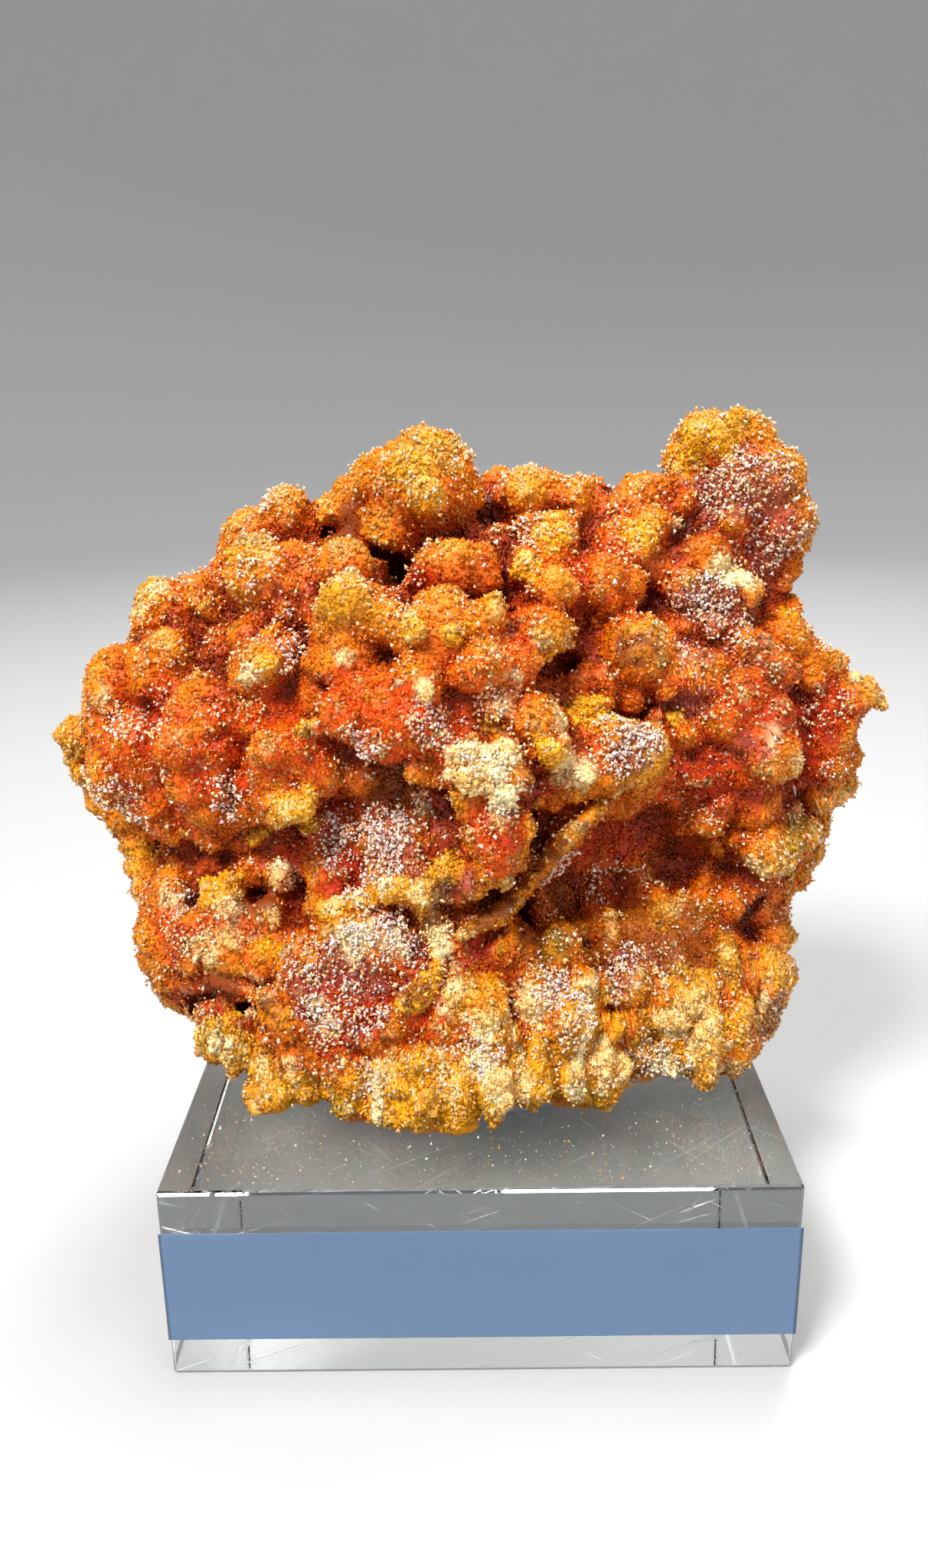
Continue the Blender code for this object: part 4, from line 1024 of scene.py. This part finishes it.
def sprinkle(name, chosen, finish, spread, wide, long, raised, glints, tips=1, lie=0.0):
    """Grains at random places on the chosen faces of the skin. Each leans from the face's normal by the
    spread, or hangs down along it by the share it should lie. It is raised by a share of its length, and some
    are painted pale by chance, as glints where their faces would catch the light."""
    share = chance.random((len(chosen), 2, 1))
    ring = skin_points[quads[chosen]]
    places = (ring[:, 0] * (1 - share[:, 0]) + ring[:, 1] * share[:, 0]) * (1 - share[:, 1]) + (
        ring[:, 3] * (1 - share[:, 0]) + ring[:, 2] * share[:, 0]) * share[:, 1]
    first = quads[chosen, 0]
    down = np.array((0.15, 0.0, -1.0))
    hanging = down - normals[first] * (normals[first] @ down)[:, None]
    along = (1 - lie) * normals[first] + lie * hanging + chance.normal(0, spread, (len(chosen), 3))
    along /= np.linalg.norm(along, axis=1, keepdims=True)
    size = np.exp(np.clip(chance.normal(0, 0.33, len(chosen)), -0.8, 0.5))
    widths, lengths = wide * size, long * size * np.exp(chance.normal(0, 0.2, len(chosen)))
    places += normals[first] * (raised * lengths)[:, None]
    places[:, 2] = np.maximum(places[:, 2], FOOT + lengths)
    colours = zincite_colours(first, 1.0)
    # Painted glints: some grains are made pale, as if their faces caught the light
    pale = (chance.random(len(chosen)) < glints * painted_glint_chance[first])[:, None]
    pale = pale * chance.uniform(0.4, 1.0, (len(chosen), 1))
    cool = 2 * (chance.random(len(chosen)) < weights["painted_sparkle"][first] * 0.7)
    tones = np.array([linear(tone)[:3] for tone in PAINTED_GLINT_TONES])[chance.integers(0, 3, len(chosen)) + cool]
    colours = colours * (1 - pale) + tones * pale
    druse = shards(name, places, along, widths, lengths, finish, tips)
    paint(druse, colours, (3 if tips == 1 else 4) + tips)
    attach(druse, "root")


# Painted glints: grains are painted pale most often on faces that look up and to the left in front,
# towards the key lamp, and seldom in hollows, where shade falls
facing_key_lamp = np.clip(0.45 + normals @ np.array((-0.20, -0.35, 0.80)), 0, 1)
painted_glint_chance = 0.007 + 0.07 * facing_key_lamp * np.clip(0.4 + 1.2 * sample(lattice_noise(34, 2.4), points), 0, 1.4)
painted_glint_chance = np.maximum(painted_glint_chance, 0.5 * weights["painted_sparkle"] * np.clip(0.75 + 0.6 * speck, 0, 1))
painted_glint_chance *= np.clip((0.66 - hollow) / 0.12, 0.15, 1)
# Grains crowd where the stone shows in front, and leave the waxy lips, ridges and the very foot bare
towards = EYE - points
towards /= np.linalg.norm(towards, axis=1, keepdims=True)
crowd = np.clip(0.62 + (normals * towards).sum(1), 0.62, 1)
crowd *= (points[:, 2] > 21.2) * (1 - 0.93 * np.clip(weights["waxy"] * 1.3 - 0.3, 0, 1))
pale = np.maximum(np.maximum(weights["yellow"], weights["cream"]), 0.8 * weights["olive"])
tufty = np.clip((pale - 0.55) / 0.3, 0, 1)
face_crowd, face_tufty = crowd[quads[:, 0]], tufty[quads[:, 0]]
face_fibre, face_painted_glint_chance = np.clip(weights["fibre"][quads[:, 0]], 0, 1), painted_glint_chance[quads[:, 0]]


def faces_by(chances, count):
    """Faces picked at random, as often as their chances say."""
    return np.searchsorted(np.cumsum(chances), chance.random(count) * chances.sum())


for part in range(DRUSE_PARTS):
    chosen = faces_by(face_crowd * (1 - 0.6 * face_tufty), DRUSE_GRAINS)
    sprinkle(
        f"zincite_druse_{part + 1}", chosen, grain_finish,
        spread=0.55, wide=0.29, long=0.34, raised=-0.25, glints=1.0,
    )
sprinkle(
    "zincite_tufts", faces_by(face_crowd * face_tufty, TUFT_GRAINS), tuft_finish,
    spread=0.7, wide=0.34, long=0.42, raised=-0.25, glints=0.5,
)
sprinkle(
    "zincite_fibres", faces_by(face_crowd * face_fibre, FIBRES), tuft_finish,
    spread=0.12, wide=0.17, long=0.62, raised=-0.08, glints=0.8, tips=2, lie=1.0,
)
# The glints: grains nearly all painted pale, placed where painted glints are likeliest
sprinkle(
    "zincite_glints", faces_by(face_crowd * face_painted_glint_chance, GLINTS), glint_finish,
    spread=2.0, wide=0.185, long=0.26, raised=1.0, glints=16.0,
)

# Crumbs
# Specks of the same druse that have come off and lie loose on the block's top, most of them in front. Nothing
# holds them.
CRUMBS = 1100
CRUMB_SIZE = 0.055
CRUMB_TONES = ("FFF4E0", "F0D8B0", "E8A850")
size = CRUMB_SIZE * np.exp(np.clip(chance.normal(0, 0.6, CRUMBS), -0.8, 1.4))
places = np.stack((
    chance.uniform(-28.5, 28.5, CRUMBS), -29 + np.abs(chance.normal(0, 8.0, CRUMBS)),
    BLOCK_TOP + CLEARANCE + 1.3 * size,
), 1)
along = chance.normal(0, 1, (CRUMBS, 3))
along /= np.linalg.norm(along, axis=1, keepdims=True)
crumbs = shards("zincite_crumbs", places, along, size, 1.2 * size, tuft_finish)
tones = np.array([linear(tone)[:3] for tone in CRUMB_TONES])[chance.integers(0, 3, CRUMBS)]
paint(crumbs, tones, 4)
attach(crumbs, "root")

# Table, light and camera
# A pale matt table that curves up all round, soft studio lights, and the camera at the eye from which the
# stone was measured.
table_finish, shader = finish_named("pale matt table", Base_Color=linear("BEBEBD"), Roughness=0.6)
# A dish turned about the upright axis: flat, then a quarter round, then a wall
FLAT, BEND, TABLE_ROUND = 600.0, 450.0, 96
turn = np.linspace(0, np.pi / 2, 17)[1:]
reach = np.concatenate((np.linspace(0, FLAT, 5), FLAT + BEND * np.sin(turn), [FLAT + BEND, FLAT + BEND]))
rise = np.concatenate((np.full(5, -0.1), BEND - BEND * np.cos(turn), [900.0, 1400.0]))
around = np.linspace(0, 2 * np.pi, TABLE_ROUND, endpoint=False)
dish = np.stack((
    reach[:, None] * np.cos(around), reach[:, None] * np.sin(around),
    np.broadcast_to(rise[:, None], (len(rise), TABLE_ROUND)),
), 2)
table_faces = tube_faces(len(rise), TABLE_ROUND)[:, ::-1]
table = mesh_from("table", dish.reshape(-1, 3), table_faces, table_finish)
sew(table)
LIT = (0, 0, 0.05)


def lamp(name, place, size, watts, colour):
    """A soft square area light, in metres, level with the table and pointed at the stone's foot."""
    light = bpy.data.lights.new(name, "AREA")
    light.shape = "SQUARE"
    light.size = size
    light.energy = watts
    light.color = linear(colour)[:3]
    made = bpy.data.objects.new(name, light)
    bpy.context.scene.collection.objects.link(made)
    turn = (Vector(LIT) - Vector(place)).to_track_quat("-Z", "Y")
    made.matrix_world = Matrix.Translation(Vector(place)) @ turn.to_matrix().to_4x4()


lamp("key", (-0.21, -0.34, 0.53), 0.15, 5.8, "FFFFFF")
lamp("fill", (0.45, -0.35, 0.30), 0.45, 1.5, "F4F8FF")
lamp("top", (0.05, 0.06, 0.62), 0.30, 1.9, "FFFFFF")
lamp("back", (0.12, 0.33, 0.58), 0.28, 2.4, "FFFFFF")
world = bpy.data.worlds.new("studio")
world.use_nodes = True
give(world.node_tree.nodes["Background"], {"Color": linear("E8ECF2"), "Strength": 0.18})
bpy.context.scene.world = world
bpy.context.scene.view_settings.view_transform = "Standard"

SENSOR = 36
camera = bpy.data.cameras.new("camera")
camera.sensor_fit = "AUTO"
camera.sensor_width = SENSOR
camera.lens = SENSOR * FOCAL_PIXELS / PICTURE[1]
camera.clip_start = 0.005
eye = bpy.data.objects.new("camera", camera)
bpy.context.scene.collection.objects.link(eye)
axes = np.eye(4)
axes[:3, :4] = np.stack((RIGHT, UP, -FORWARD, EYE * MM), 1)
eye.matrix_world = Matrix(axes.tolist())
bpy.context.scene.camera = eye
